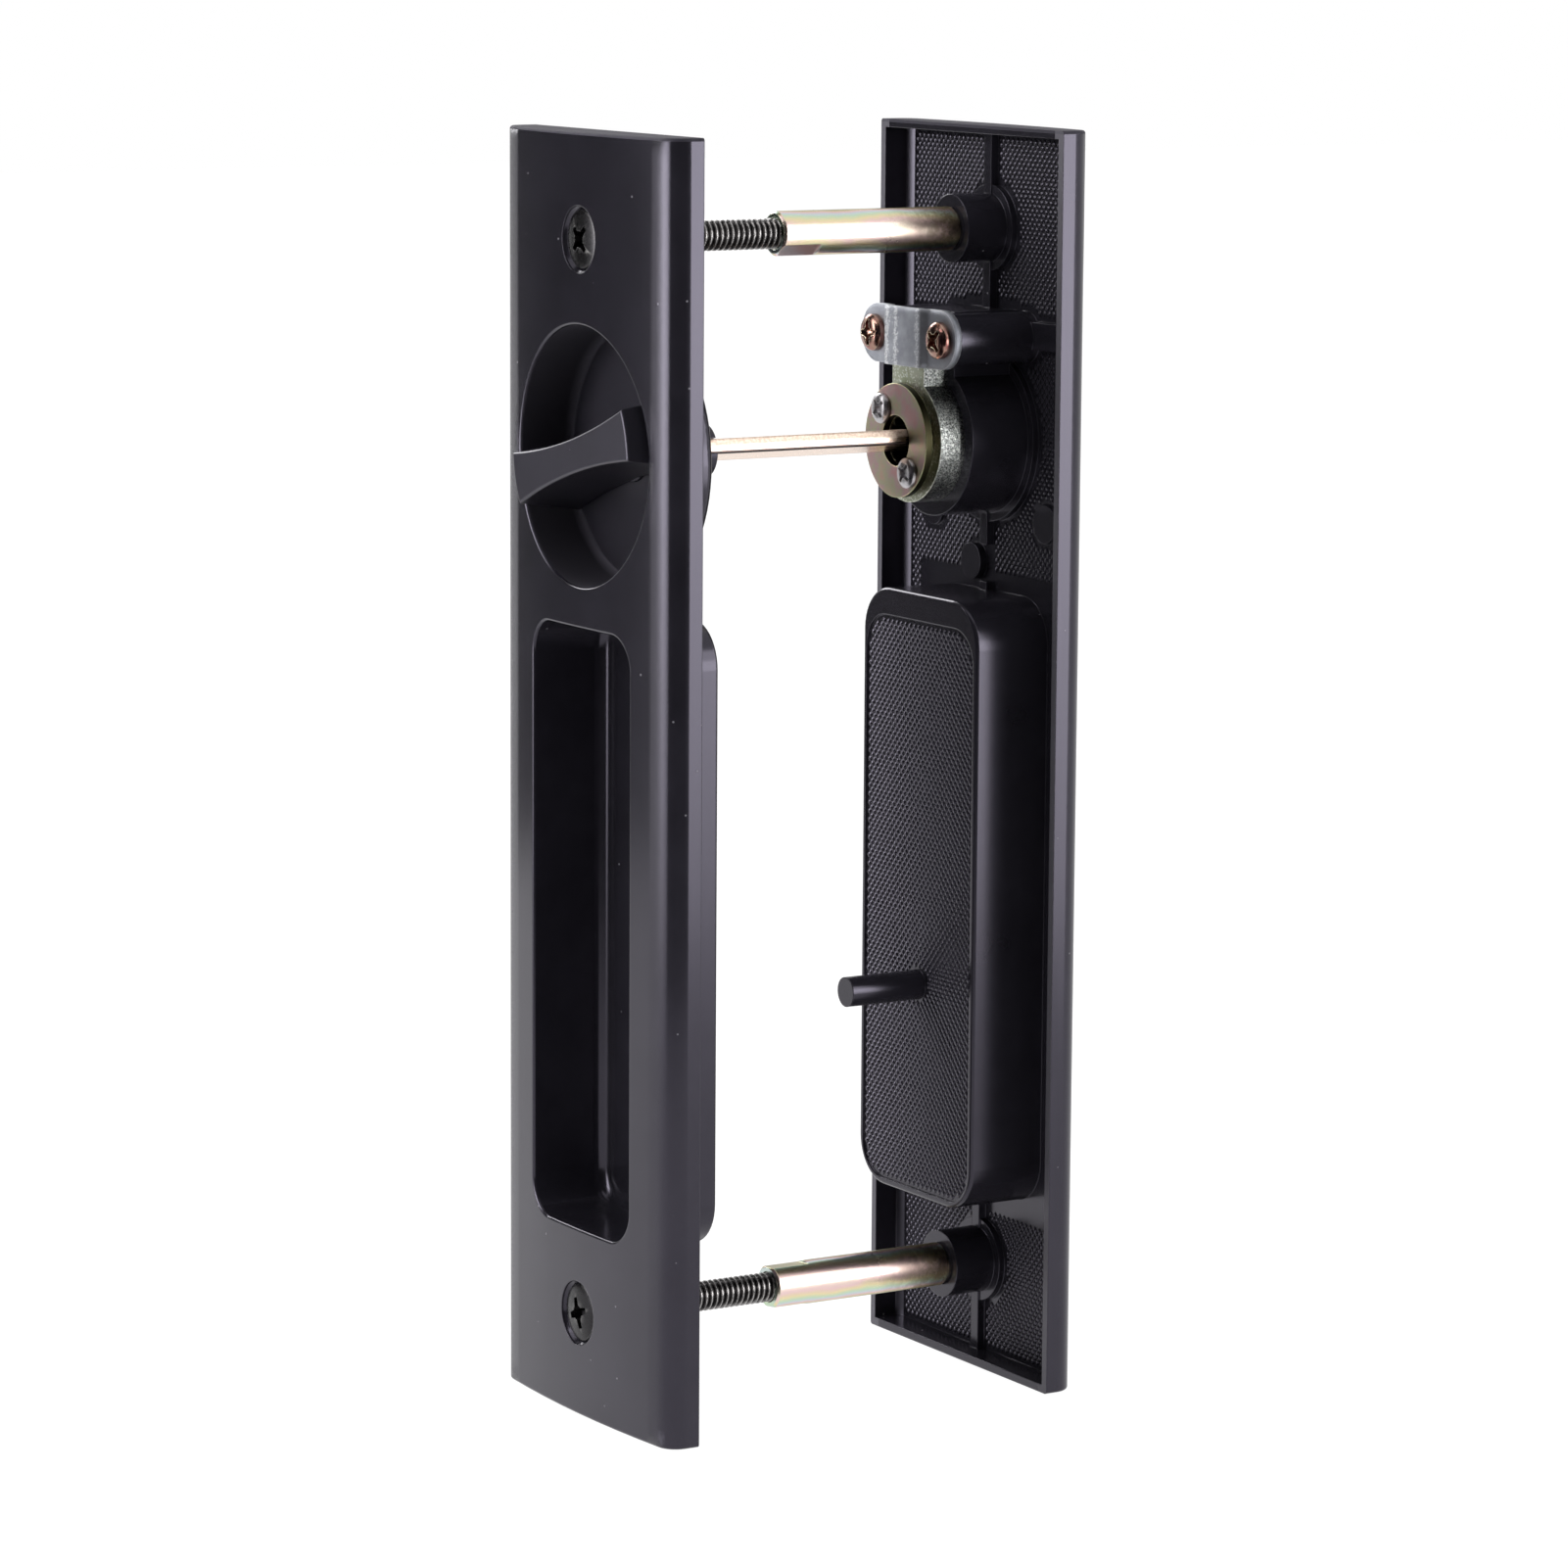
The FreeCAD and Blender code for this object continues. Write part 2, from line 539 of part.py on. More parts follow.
def makeFrontPlate():
    """The cast plate of the thumb-turn side: cup above, finger pocket below."""
    body = newBody("front_plate")
    plateBlank(body)
    plateRibs(body)
    ejectorPads(body, "EjectorPads", "padDia", "padHigh",
                [("padOut", "midUp - padUp * 2.25"), ("-padOut", "midUp - padUp * 2.25")])
    screwBosses(body, "plateThick")
    gripBox(body)
    soften(body, "GripBoxRound", "gripEdge", flatAt("gripBack"))
    cup = across(body, "CupBoxMark", "floorAt")
    circle(cup, "cupDia + 2 * cupWall", up="axisUp")
    grow(body, "CupBox", cup, "cupBack - floorAt", backward=True)
    soften(body, "CupBoxRound", "cupEdge", flatAt("cupBack"))
    gripCut(body)
    bowl = across(body, "CupMark", "-1")
    circle(bowl, "cupDia", up="axisUp")
    cut(body, "Cup", bowl, "cupDeep + 1")
    soften(body, "CupFloorRound", "cupFloorRound", flatAt("cupDeep", val("midUp")))
    soften(body, "CupMouthRound", "mouthRound", throughCrown(val("midUp"), val("plateHigh")))
    hub = across(body, "HubHoleMark", "-1")
    circle(hub, "hubHoleDia", up="axisUp")
    cut(body, "HubHole", hub, "cupBack + 2")
    for name, sign in (("Upper", "+"), ("Lower", "-")):
        sink = lengthwise(body, name + "SinkSection", "midUp %s screwSpacing / 2" % sign)
        outline(sink, [
            ("-1", "0"),
            ("plateThick + 1", "0"),
            ("plateThick + 1", "screwHoleDia / 2"),
            ("sinkRim + (sinkDia - screwHoleDia) / 2", "screwHoleDia / 2"),
            ("sinkRim", "sinkDia / 2"),
            ("-1", "sinkDia / 2"),
        ])
        spin(body, name + "Sink", sink, "PartDesign::Groove")
    return moved(body, y="frontAt")


def makeRearPlate():
    """The cast plate of the key side: cylinder boss, pin tower guard, clamp posts, sleeve
    bosses, finger pocket and locating stud."""
    body = newBody("rear_plate")
    plateBlank(body)
    plateRibs(body)
    ejectorPads(body, "EjectorPads", "padDia", "padHigh",
                [("padOut", "midUp + padUp"), ("-padOut", "midUp + padUp")])
    gap = across(body, "RibGapMark", "floorAt")
    block(gap, "2 * ribWide", "ribPadDia", up="midUp + ribPadUp")
    cut(body, "RibGap", gap, "ribHigh + 1")
    ejectorPads(body, "RibPad", "ribPadDia", "ribHigh", [("ribPadOut", "midUp + ribPadUp")])
    screwBosses(body, "rearBossEnd")
    gripBox(body)
    soften(body, "GripBoxRound", "gripEdge", flatAt("gripBack"))
    webs = across(body, "WebMark", "floorAt")
    block(webs, "plateWide - 2 * rimWall", "webThick", up="axisUp + webUp")
    grow(body, "Webs", webs, "ribHigh", backward=True)
    boss = across(body, "CylinderBossMark", "floorAt")
    circle(boss, "bossOuterDia", up="axisUp")
    grow(body, "CylinderBoss", boss, "bossInner - floorAt", backward=True)
    collar(body, "CylinderCollar", "bossOuterDia", ["axisUp"])
    guard = across(body, "GuardMark", "floorAt")
    block(guard, "towerWide + 4 * fitGap + 2 * guardWall", "towerUp + guardWall + towerGap",
          up="axisUp + (towerUp + guardWall + towerGap) / 2")
    grow(body, "Guard", guard, "bossInner - floorAt", backward=True)
    posts = across(body, "PostMarks", "floorAt")
    for sign in ("-", ""):
        circle(posts, "postDia", sign + "postSpacing / 2", "axisUp + postUp")
    grow(body, "Posts", posts, "postInner - floorAt", backward=True)
    gripCut(body)
    stud = across(body, "StudMark", "gripBack - panelSunk")
    circle(stud, "studDia", up="midUp - studDown")
    grow(body, "Stud", stud, "studLong + panelSunk", backward=True)
    bore = across(body, "CylinderHoleMark", "bodyShoulder")
    circle(bore, "bodyHoleDia", up="axisUp")
    cut(body, "CylinderHole", bore, "bossInner")
    neck = across(body, "NeckHoleMark", "-1")
    circle(neck, "neckHoleDia", up="axisUp")
    cut(body, "NeckHole", neck, "bodyShoulder + 2")
    slot = across(body, "TowerSlotMark", "floorAt + 1")
    block(slot, "towerWide + 4 * fitGap", "towerUp + towerGap", up="axisUp + (towerUp + towerGap) / 2")
    cut(body, "TowerSlot", slot, "bossInner")
    for name, sign in (("Upper", "+"), ("Lower", "-")):
        seat = across(body, name + "SeatMark", "rearBossEnd - sleeveSeatDeep")
        circle(seat, "sleeveSeatDia", up="midUp %s screwSpacing / 2" % sign)
        cut(body, name + "Seat", seat, "sleeveSeatDeep + 1")
    tapped = across(body, "PostHoleMarks", "postInner - clampScrewLong")
    for sign in ("-", ""):
        circle(tapped, "clampScrewDia + 2 * fitGap", sign + "postSpacing / 2", "axisUp + postUp")
    cut(body, "PostHoles", tapped, "clampScrewLong + 1")
    return moved(body, y="rearAt", turn=(("0", "0", "1"), "180"))


def makeKnob():
    """Bow-tie thumb-turn with its round hub, clip groove and slotted end."""
    body = newBody("thumb_knob")
    face = across(body, "KnobFace", "-knobProud")
    half = "knobEndWide / 2"
    outline(face, [
        ("knobEndX", "-" + half, "knobEndRadius", 1),
        ("knobEndX", half, "knobSide", -1),
        ("-knobEndX", half, "knobEndRadius", 1),
        ("-knobEndX", "-" + half, "knobSide", -1),
    ])
    grow(body, "Knob", face, "knobBack + knobProud", backward=True, taper="knobTaper")
    soften(body, "KnobFaceRound", "knobEdge", flatAt("-knobProud"))
    hub = across(body, "HubMark", "knobBack")
    circle(hub, "hubDia")
    grow(body, "Hub", hub, "hubReach - knobBack", backward=True)
    groove = lengthwise(body, "ClipGrooveSection")
    outline(groove, [
        ("clipAt - fitGap", "hubDia / 2 - clipGroove"),
        ("clipAt + clipThick + fitGap", "hubDia / 2 - clipGroove"),
        ("clipAt + clipThick + fitGap", "hubDia / 2 + 1"),
        ("clipAt - fitGap", "hubDia / 2 + 1"),
    ])
    spin(body, "ClipGroove", groove, "PartDesign::Groove")
    slot = across(body, "SlotMark", "slotFloor")
    block(slot, "hubDia + 2", "bladeThick + 2 * fitGap")
    cut(body, "Slot", slot, "hubSlotDeep + 1")
    pin = sketchOn(body, "PinHoleMark", "XY_Plane")
    circle(pin, "crossPinDia + 2 * fitGap", up="crossPinAt")
    cut(body, "PinHole", pin, "hubDia + 2", middle=True)
    return moved(body, y="frontAt", z="axisUp", turn=(("0", "-1", "0"), "knobTilt"))


def makeBlade():
    """The flat spindle between hub and plug."""
    body = newBody("spindle_blade")
    bar = across(body, "BladeSection", "slotFloor + fitGap")
    roundBlock(bar, "bladeWide", "bladeThick", "bladeEdge")
    grow(body, "Blade", bar, "bladeLong", backward=True)
    pin = sketchOn(body, "PinHoleMark", "XY_Plane")
    circle(pin, "crossPinDia + 2 * fitGap", up="crossPinAt")
    cut(body, "PinHole", pin, "bladeThick + 2", middle=True)
    return moved(body, y="frontAt", z="axisUp", turn=(("0", "-1", "0"), "knobTilt"))


def makeCrossPin():
    body = newBody("spindle_pin")
    mark = sketchOn(body, "PinMark", "XY_Plane")
    circle(mark, "crossPinDia", up="crossPinAt")
    grow(body, "Pin", mark, "hubDia - 0.4", middle=True)
    return moved(body, y="frontAt", z="axisUp", turn=(("0", "-1", "0"), "knobTilt"))


def makeWashers():
    """Flat washer, cupped spring washer and open clip, one behind the other on the hub."""
    flat = newBody("flat_washer")
    ring = across(flat, "RingMark", "cupBack + faceGap")
    circle(ring, "washerDia")
    circle(ring, "hubHoleDia")
    grow(flat, "Ring", ring, "washerThick", backward=True)

    spring = newBody("spring_washer")
    section = lengthwise(spring, "RingSection")
    outline(section, [
        ("springAt", "springDia / 2 - 0.7"),
        ("clipAt - springThick", "hubHoleDia / 2"),
        ("clipAt", "hubHoleDia / 2"),
        ("clipAt", "hubHoleDia / 2 + 0.7"),
        ("springAt + springThick", "springDia / 2"),
        ("springAt", "springDia / 2"),
    ])
    spin(spring, "Ring", section)

    clip = newBody("retaining_clip")
    ring = across(clip, "RingMark", "clipAt")
    circle(ring, "clipDia")
    circle(ring, "clipBore")
    grow(clip, "Ring", ring, "clipThick", backward=True)
    mouth = across(clip, "MouthMark", "clipAt - 1")
    block(mouth, "clipMouth", "clipDia", up="-clipDia / 2")
    cut(clip, "Mouth", mouth, "clipThick + 2")
    for body in (flat, spring, clip):
        moved(body, y="frontAt", z="axisUp", turn=(("0", "-1", "0"), "knobTilt"))


def makePlateScrew(label, sign):
    """Raised countersunk screw, its section turned about its own axis."""
    body = newBody(label)
    section = lengthwise(body, "ScrewSection")
    dome = "((headDia / 2) ^ 2 + headRaise ^ 2) / (2 * headRaise)"
    outline(section, [
        ("headAt - headRaise", "0"),
        ("headAt + screwLong", "0"),
        ("headAt + screwLong", "screwDia / 2 - 0.5"),
        ("headAt + screwLong - 0.5", "screwDia / 2"),
        ("headAt + headRim + (headDia - screwDia) / 2", "screwDia / 2"),
        ("headAt + headRim", "headDia / 2"),
        ("headAt", "headDia / 2", dome, 1),
    ])
    spin(body, "Screw", section)
    return moved(body, y="frontAt", z="midUp %s screwSpacing / 2" % sign)


def makeSleeve(label, sign, flatTurn):
    """Threaded sleeve with its neck in the rear boss and two wrench flats at its mouth."""
    body = newBody(label)
    section = lengthwise(body, "SleeveSection")
    mouth = "rearBossEnd + sleeveLong"
    outline(section, [
        ("rearBossEnd - sleeveNeckLong", "0"),
        ("%s - sleeveBoreDeep" % mouth, "0"),
        ("%s - sleeveBoreDeep" % mouth, "sleeveBore / 2"),
        (mouth, "sleeveBore / 2"),
        (mouth, "sleeveDia / 2 - 0.3"),
        ("%s - 0.3" % mouth, "sleeveDia / 2"),
        ("rearBossEnd + sleeveNeckShow", "sleeveDia / 2"),
        ("rearBossEnd + sleeveNeckShow", "sleeveNeckDia / 2"),
        ("rearBossEnd - sleeveNeckLong", "sleeveNeckDia / 2"),
    ])
    spin(body, "Sleeve", section)
    flats = twisted(across(body, "FlatMarks", "%s - sleeveFlatLong" % mouth), flatTurn)
    for side in ("-", ""):
        block(flats, "sleeveDia", "sleeveDia + 1", "%s(sleeveFlat + sleeveDia) / 2" % side)
    cut(body, "Flats", flats, "sleeveFlatLong + 1")
    return moved(body, y="rearAt", z="midUp %s screwSpacing / 2" % sign, turn=(("0", "0", "1"), "180"))


def atKeySide(body):
    """Puts a piece on the turn axis of the key side, its outer end towards +Y."""
    return moved(body, y="rearAt", z="axisUp", turn=(("0", "0", "1"), "180"))


def pinSpot(number):
    return "pinFirst + %d * pinPitch" % number


def makeCylinder():
    """The lock cylinder's housing: round, neck, pin tower, plug bore and pin chambers."""
    body = newBody("cylinder_body")
    section = lengthwise(body, "RoundSection")
    outline(section, [
        ("-bodyProud", "plugFlangeDia / 2 + runGap"),
        ("plugFlangeLong - plugOuter + faceGap", "plugFlangeDia / 2 + runGap"),
        ("plugFlangeLong - plugOuter + faceGap", "plugBore / 2"),
        ("bodyInner", "plugBore / 2"),
        ("bodyInner", "bodyDia / 2"),
        ("bodyShoulder", "bodyDia / 2"),
        ("bodyShoulder", "neckDia / 2"),
        ("0.3 - bodyProud", "neckDia / 2"),
        ("-bodyProud", "neckDia / 2 - 0.3"),
    ])
    spin(body, "Round", section)
    tower = across(body, "TowerMark", "towerOuter")
    low = "sqrt((bodyDia / 2) ^ 2 - (towerWide / 2) ^ 2) - 0.4"
    block(tower, "towerWide", "towerUp - (%s)" % low, up="(towerUp + %s) / 2" % low)
    grow(body, "Tower", tower, "bodyInner - towerOuter", backward=True)
    cover = across(body, "CoverSlotMark", "towerOuter - 1")
    block(cover, "coverWide + 2 * fitGap", "2 * coverThick", up="towerUp")
    cut(body, "CoverSlot", cover, "coverLong + 1")
    chambers = sketchOn(body, "ChamberMarks", "XY_Plane")
    for number in range(int(val("pinCount"))):
        circle(chambers, "pinBore", up=pinSpot(number))
    cut(body, "Chambers", chambers, "towerUp + 1", backward=True)
    return atKeySide(body)


def makePlug():
    """The turning plug: rim, keyway, pin chambers, drive recess and two screw holes."""
    body = newBody("cylinder_plug")
    section = lengthwise(body, "PlugSection")
    outline(section, [
        ("-plugOuter", "0"),
        ("plugInner", "0"),
        ("plugInner", "plugDia / 2"),
        ("plugFlangeLong - plugOuter", "plugDia / 2"),
        ("plugFlangeLong - plugOuter", "plugFlangeDia / 2"),
        ("-plugOuter", "plugFlangeDia / 2"),
    ])
    spin(body, "Plug", section)
    way = across(body, "KeywayMark", "-plugOuter - 1")
    half = "keyWide / 2"
    tall = "keyHigh / 2"
    outline(way, [
        ("-%s" % half, "-" + tall),
        (half, "-" + tall),
        (half, "-keyStep"),
        ("%s + keyStep" % half, "-keyStep"),
        ("%s + keyStep" % half, "keyStep"),
        (half, "keyStep"),
        (half, tall),
        ("-%s" % half, tall),
    ])
    cut(body, "Keyway", way, "keyDeep + 1")
    chambers = sketchOn(body, "ChamberMarks", "XY_Plane", "plugDia / 2 - keyPinShort - 3 * keyPinStep - 0.2")
    for number in range(int(val("pinCount"))):
        circle(chambers, "pinBore", up=pinSpot(number))
    cut(body, "Chambers", chambers, "plugDia", backward=True)
    drive = twisted(across(body, "DriveMark", "plugInner - driveDeep"), "180 - driveMiddle")
    tip = "driveHalf / sin(driveWall * 1deg)"
    rim = "driveDia / 2"
    # The wall's two faces run parallel to the spindle at the ends of its swing.
    outX = "(%s * sin(driveWall * 1deg - asin(driveHalf / (%s))))" % (rim, rim)
    outY = "(%s * cos(driveWall * 1deg - asin(driveHalf / (%s))))" % (rim, rim)
    outline(drive, [
        (outX, outY),
        ("0", tip),
        ("-" + outX, outY, rim, 1),
        ("-" + outX, "-" + outY),
        ("0", "-" + tip),
        (outX, "-" + outY, rim, 1),
    ])
    cut(body, "Drive", drive, "driveDeep + 1")
    holes = across(body, "ScrewHoleMarks", "plugInner - discScrewLong + discThick - 0.3")
    discCircles(holes, "discScrewDia + 2 * fitGap")
    cut(body, "ScrewHoles", holes, "discScrewLong")
    return atKeySide(body)


def discCircles(drawing, diameter):
    for sign in ("", "-"):
        circle(drawing, diameter, "%s(discBolt / 2 * cos(discScrewTurn * 1deg))" % sign,
               "%s(discBolt / 2 * sin(discScrewTurn * 1deg))" % sign)


def makeDisc():
    body = newBody("retainer_disc")
    ring = across(body, "DiscMark", "plugInner")
    circle(ring, "discDia")
    circle(ring, "discHole")
    grow(body, "Disc", ring, "discThick", backward=True)
    holes = across(body, "ScrewHoleMarks", "plugInner - 1")
    discCircles(holes, "discScrewDia + 4 * runGap")
    cut(body, "ScrewHoles", holes, "discThick + 2")
    return atKeySide(body)


def panScrew(label, seat, shaft, long, head, high, x, z):
    """Pan head screw, its section turned about its own axis. seat is the face under its head."""
    body = newBody(label)
    section = lengthwise(body, "ScrewSection")
    outline(section, [
        ("%s - %s" % (seat, long), "0"),
        ("%s + %s" % (seat, high), "0"),
        ("%s + %s" % (seat, high), "%s / 2 - %s * 0.6" % (head, high)),
        ("%s + %s * 0.55" % (seat, high), "%s / 2" % head),
        (seat, "%s / 2" % head),
        (seat, "%s / 2" % shaft),
        ("%s - %s" % (seat, long), "%s / 2" % shaft),
    ])
    spin(body, "Screw", section)
    return moved(body, x, "rearAt", z, (("0", "0", "1"), "180"))


def makeStrap():
    """The clamp over the pin tower: rounded lobes, raised middle, two clearance holes."""
    body = newBody("clamp_strap")
    high = "(saddleBack + strapThick - postInner)"
    side = "(postSpacing / 2)"
    mark = across(body, "StrapMark", "postInner")
    outline(mark, [
        ("-" + side, "-strapWide / 2"),
        (side, "-strapWide / 2", "strapWide / 2 + fitGap", 1),
        (side, "strapWide / 2"),
        ("-" + side, "strapWide / 2", "strapWide / 2 + fitGap", 1),
    ])
    grow(body, "Strap", mark, high, backward=True)
    lobes = sketchOn(body, "LobeMarks", "XY_Plane")
    far = "(postSpacing / 2 + strapWide)"
    outline(lobes, [
        ("saddleWide / 2 + saddleRamp", "strapLobe"),
        (far, "strapLobe"),
        (far, "strapLobe + 2"),
        ("saddleWide / 2", "strapLobe + 2"),
        ("saddleWide / 2", "saddleBack + strapThick"),
    ])
    outline(lobes, [
        ("-(saddleWide / 2 + saddleRamp)", "strapLobe"),
        ("-saddleWide / 2", "saddleBack + strapThick"),
        ("-saddleWide / 2", "strapLobe + 2"),
        ("-" + far, "strapLobe + 2"),
        ("-" + far, "strapLobe"),
    ])
    cut(body, "Lobes", lobes, "strapWide + 2", middle=True)
    under = sketchOn(body, "SaddleMark", "XY_Plane")
    wide = "(saddleWide / 2 - 0.1)"
    foot = "(saddleWide / 2 + saddleRamp - 0.1)"
    outline(under, [
        ("-" + foot, "postInner - 1"),
        (foot, "postInner - 1"),
        (foot, "postInner"),
        (wide, "saddleBack"),
        ("-" + wide, "saddleBack"),
        ("-" + foot, "postInner"),
    ])
    cut(body, "Saddle", under, "strapWide + 2", middle=True)
    holes = across(body, "ScrewHoleMarks", "postInner - 1")
    for sign in ("-", ""):
        circle(holes, "clampScrewDia + 4 * runGap", sign + side)
    cut(body, "ScrewHoles", holes, "strapThick + 3")
    return moved(body, y="rearAt", z="axisUp + postUp", turn=(("0", "0", "1"), "180"))


def makePins():
    """Key pins in the plug, driver pins and springs in the tower, and the strip above them."""
    for number in range(int(val("pinCount"))):
        along = "rearAt - (%s)" % pinSpot(number)
        long = "keyPinShort + %d * keyPinStep" % ((number * 2 + 1) % 4)
        key = newBody("key_pin_%d" % (number + 1))
        section = sketchOn(key, "PinSection", "YZ_Plane")
        outline(section, [
            ("0", "pinTop - (%s)" % long),
            ("pinDia / 6", "pinTop - (%s)" % long),
            ("pinDia / 2", "pinTop - (%s) + pinDia / 3" % long),
            ("pinDia / 2", "pinTop"),
            ("0", "pinTop"),
        ])
        turned = key.newObject("PartDesign::Revolution", "Pin")
        turned.Profile = section
        turned.ReferenceAxis = (section, ["V_Axis"])
        turned.Angle = 360
        moved(key, y=along, z="axisUp")

        driver = newBody("driver_pin_%d" % (number + 1))
        mark = sketchOn(driver, "PinMark", "XY_Plane", "driverLow")
        circle(mark, "pinDia")
        grow(driver, "Pin", mark, "driverLong")
        moved(driver, y=along, z="axisUp")

        spring = newBody("pin_spring_%d" % (number + 1))
        wire = sketchOn(spring, "WireSection", "XZ_Plane")
        block(wire, "wireThick", "wireThick", "pinDia / 2 - wireThick / 2", "springLow + wireThick / 2")
        coil = spring.newObject("PartDesign::AdditiveHelix", "Coil")
        coil.Profile = wire
        coil.ReferenceAxis = (wire, ["V_Axis"])
        coil.Mode = "height-turns-angle"
        coil.setExpression("Height", bind("chamberTop - springLow - wireThick - fitGap"))
        coil.setExpression("Turns", bind("wireTurns"))
        moved(spring, y=along, z="axisUp")

    cover = newBody("pin_cover")
    strip = across(cover, "StripMark", "towerOuter")
    block(strip, "coverWide", "coverThick - fitGap", up="towerUp - (coverThick - fitGap) / 2")
    grow(cover, "Strip", strip, "coverLong - fitGap", backward=True)
    atKeySide(cover)


makeFrontPlate()
makeRearPlate()
makeKnob()
makeBlade()
makeCrossPin()
makeWashers()
makePlateScrew("plate_screw_upper", "+")
makePlateScrew("plate_screw_lower", "-")
makeSleeve("sleeve_upper", "+", "upperFlatTurn")
makeSleeve("sleeve_lower", "-", "lowerFlatTurn")
makeCylinder()
makePlug()
makeDisc()
for label, sign in (("disc_screw_upper", "-"), ("disc_screw_lower", "")):
    other = "" if sign else "-"
    panScrew(label, "discInner", "discScrewDia", "discScrewLong", "discHeadDia", "discHeadHigh",
             "%s(discBolt / 2 * cos(discScrewTurn * 1deg))" % sign,
             "axisUp + %s(discBolt / 2 * sin(discScrewTurn * 1deg))" % other)
makeStrap()
for label, sign in (("clamp_screw_left", "-"), ("clamp_screw_right", "")):
    panScrew(label, "strapLobe", "clampScrewDia", "clampScrewLong", "clampHeadDia", "clampHeadHigh",
             "%s(postSpacing / 2)" % sign, "axisUp + postUp")
makePins()
doc.recompute()

failed = [piece.Name for piece in doc.Objects if {"Invalid", "Error"} & set(piece.State)]
if failed:
    raise RuntimeError("these do not compute: " + ", ".join(failed))
bodies = [piece for piece in doc.Objects if piece.TypeId == "PartDesign::Body"]
for body in bodies:
    if body.Shape.isNull() or not body.Shape.isValid() or not body.Shape.Solids:
        raise RuntimeError("%s has no valid solid" % body.Label)
    body.Shape.exportStep("parts/%s.step" % body.Label)
print("%d pieces written" % len(bodies))
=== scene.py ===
import bpy
import bmesh
import math
from mathutils import Matrix, Vector


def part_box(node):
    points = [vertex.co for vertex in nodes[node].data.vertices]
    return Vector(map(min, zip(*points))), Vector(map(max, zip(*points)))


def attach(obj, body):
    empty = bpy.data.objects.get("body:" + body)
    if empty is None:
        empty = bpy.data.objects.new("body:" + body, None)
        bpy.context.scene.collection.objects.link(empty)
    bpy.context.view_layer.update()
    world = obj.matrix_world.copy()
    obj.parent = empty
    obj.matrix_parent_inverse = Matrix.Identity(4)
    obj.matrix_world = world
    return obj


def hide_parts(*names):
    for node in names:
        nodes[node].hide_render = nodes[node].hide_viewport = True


# Flush handle set for a sliding patio door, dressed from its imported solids.
# Lengths are in metres, or in millimetres where they are multiplied by mm. X runs across
# the plates, -Y is the thumb-turn side, Z is up.

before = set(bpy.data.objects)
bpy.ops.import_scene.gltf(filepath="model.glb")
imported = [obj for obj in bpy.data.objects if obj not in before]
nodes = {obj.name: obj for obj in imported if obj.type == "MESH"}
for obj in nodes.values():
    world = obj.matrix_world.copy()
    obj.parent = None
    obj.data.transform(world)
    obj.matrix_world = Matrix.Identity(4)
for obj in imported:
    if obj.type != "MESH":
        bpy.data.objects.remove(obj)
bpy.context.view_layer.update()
mm = 0.001
print("handle set: frame loaded, %d nodes" % len(nodes))

frontLow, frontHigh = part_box("front_plate")
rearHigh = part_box("rear_plate")[1]
plugLow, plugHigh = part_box("cylinder_plug")
frontCrown = frontLow.y
rearCrown = rearHigh.y
plateTop = frontHigh.z
turnAxis = (plugLow.z + plugHigh.z) / 2
gripMiddle = 63.9        # height of the finger pocket's middle, in millimetres
knobTilt = 15.5          # degrees that knob and blade stand off level at rest


# Camera, stage and lamps

view = {
    "azimuth": 58.99,      # degrees round from looking straight at the front
    "elevation": 8.857,
    "roll": 0.375,
    "away": 0.7562,
    "aim": (0.0, frontCrown + 0.035, plateTop / 2),
    "slide": (-0.003615, -0.002586),
    "lens": 132.5,
    "sensor": 36.0,
}

lamps = [
    {"name": "softFrontLeft", "place": (-0.36, -1.07, 0.52), "size": (0.76, 0.80), "watts": 8.0},
    {"name": "softBackRight", "place": (0.86, 0.72, 0.55), "size": (0.60, 0.60), "watts": 4.5},
    {"name": "softLeft", "place": (-1.0, -0.03, 0.60), "size": (0.45, 0.40), "watts": 4.0},
    {"name": "softTop", "place": (0.1, -0.05, 1.3), "size": (0.8, 0.8), "watts": 6.0, "gloss": False},
]

stage = {
    "white": (1.0, 1.0, 1.0),
    "worldTone": 0.42,     # what lights the object from all round
    "floorHalf": 3.0,
    "floorDrop": 0.0002,   # keeps the floor just clear of the plates' ends
    "floorTone": 0.82,
    "glow": 1.16,          # the floor as camera and gloss see it
    "keepShadow": 0.16,    # share of the real shadow that stays in it
}

# Black cards and white sheets that only gloss sees, as a table photographer stands them
# round a shiny part. Azimuths are counted as the camera's, distances and heights in metres,
# and shine is how bright a card is at the floor and from shineTop up.
shineTop = 0.11
cardSteps = 24
cards = [
    {"name": "cardLeft", "from": -73, "to": -43, "away": 0.42, "low": 0.006, "high": 0.9,
     "shine": (0.10, 0.012)},
    {"name": "cardBack", "from": -150, "to": -95, "away": 0.45, "low": 0.12, "high": 0.205,
     "shine": (0.2, 0.2)},
    {"name": "cardFront", "from": 4, "to": 107, "away": 0.30, "low": 0.002, "high": 0.6,
     "shine": (0.02, 0.02)},
    {"name": "sheetFront", "from": -30, "to": 3, "away": 0.36, "low": 0.0, "high": 0.24,
     "shine": (2.2, 10.0)},
    {"name": "sheetBack", "from": 106, "to": 133, "away": 0.36, "low": 0.0, "high": 0.19,
     "shine": (3.9, 8.0)},
]


def newObject(name, data):
    item = bpy.data.objects.new(name, data)
    bpy.context.scene.collection.objects.link(item)
    return item


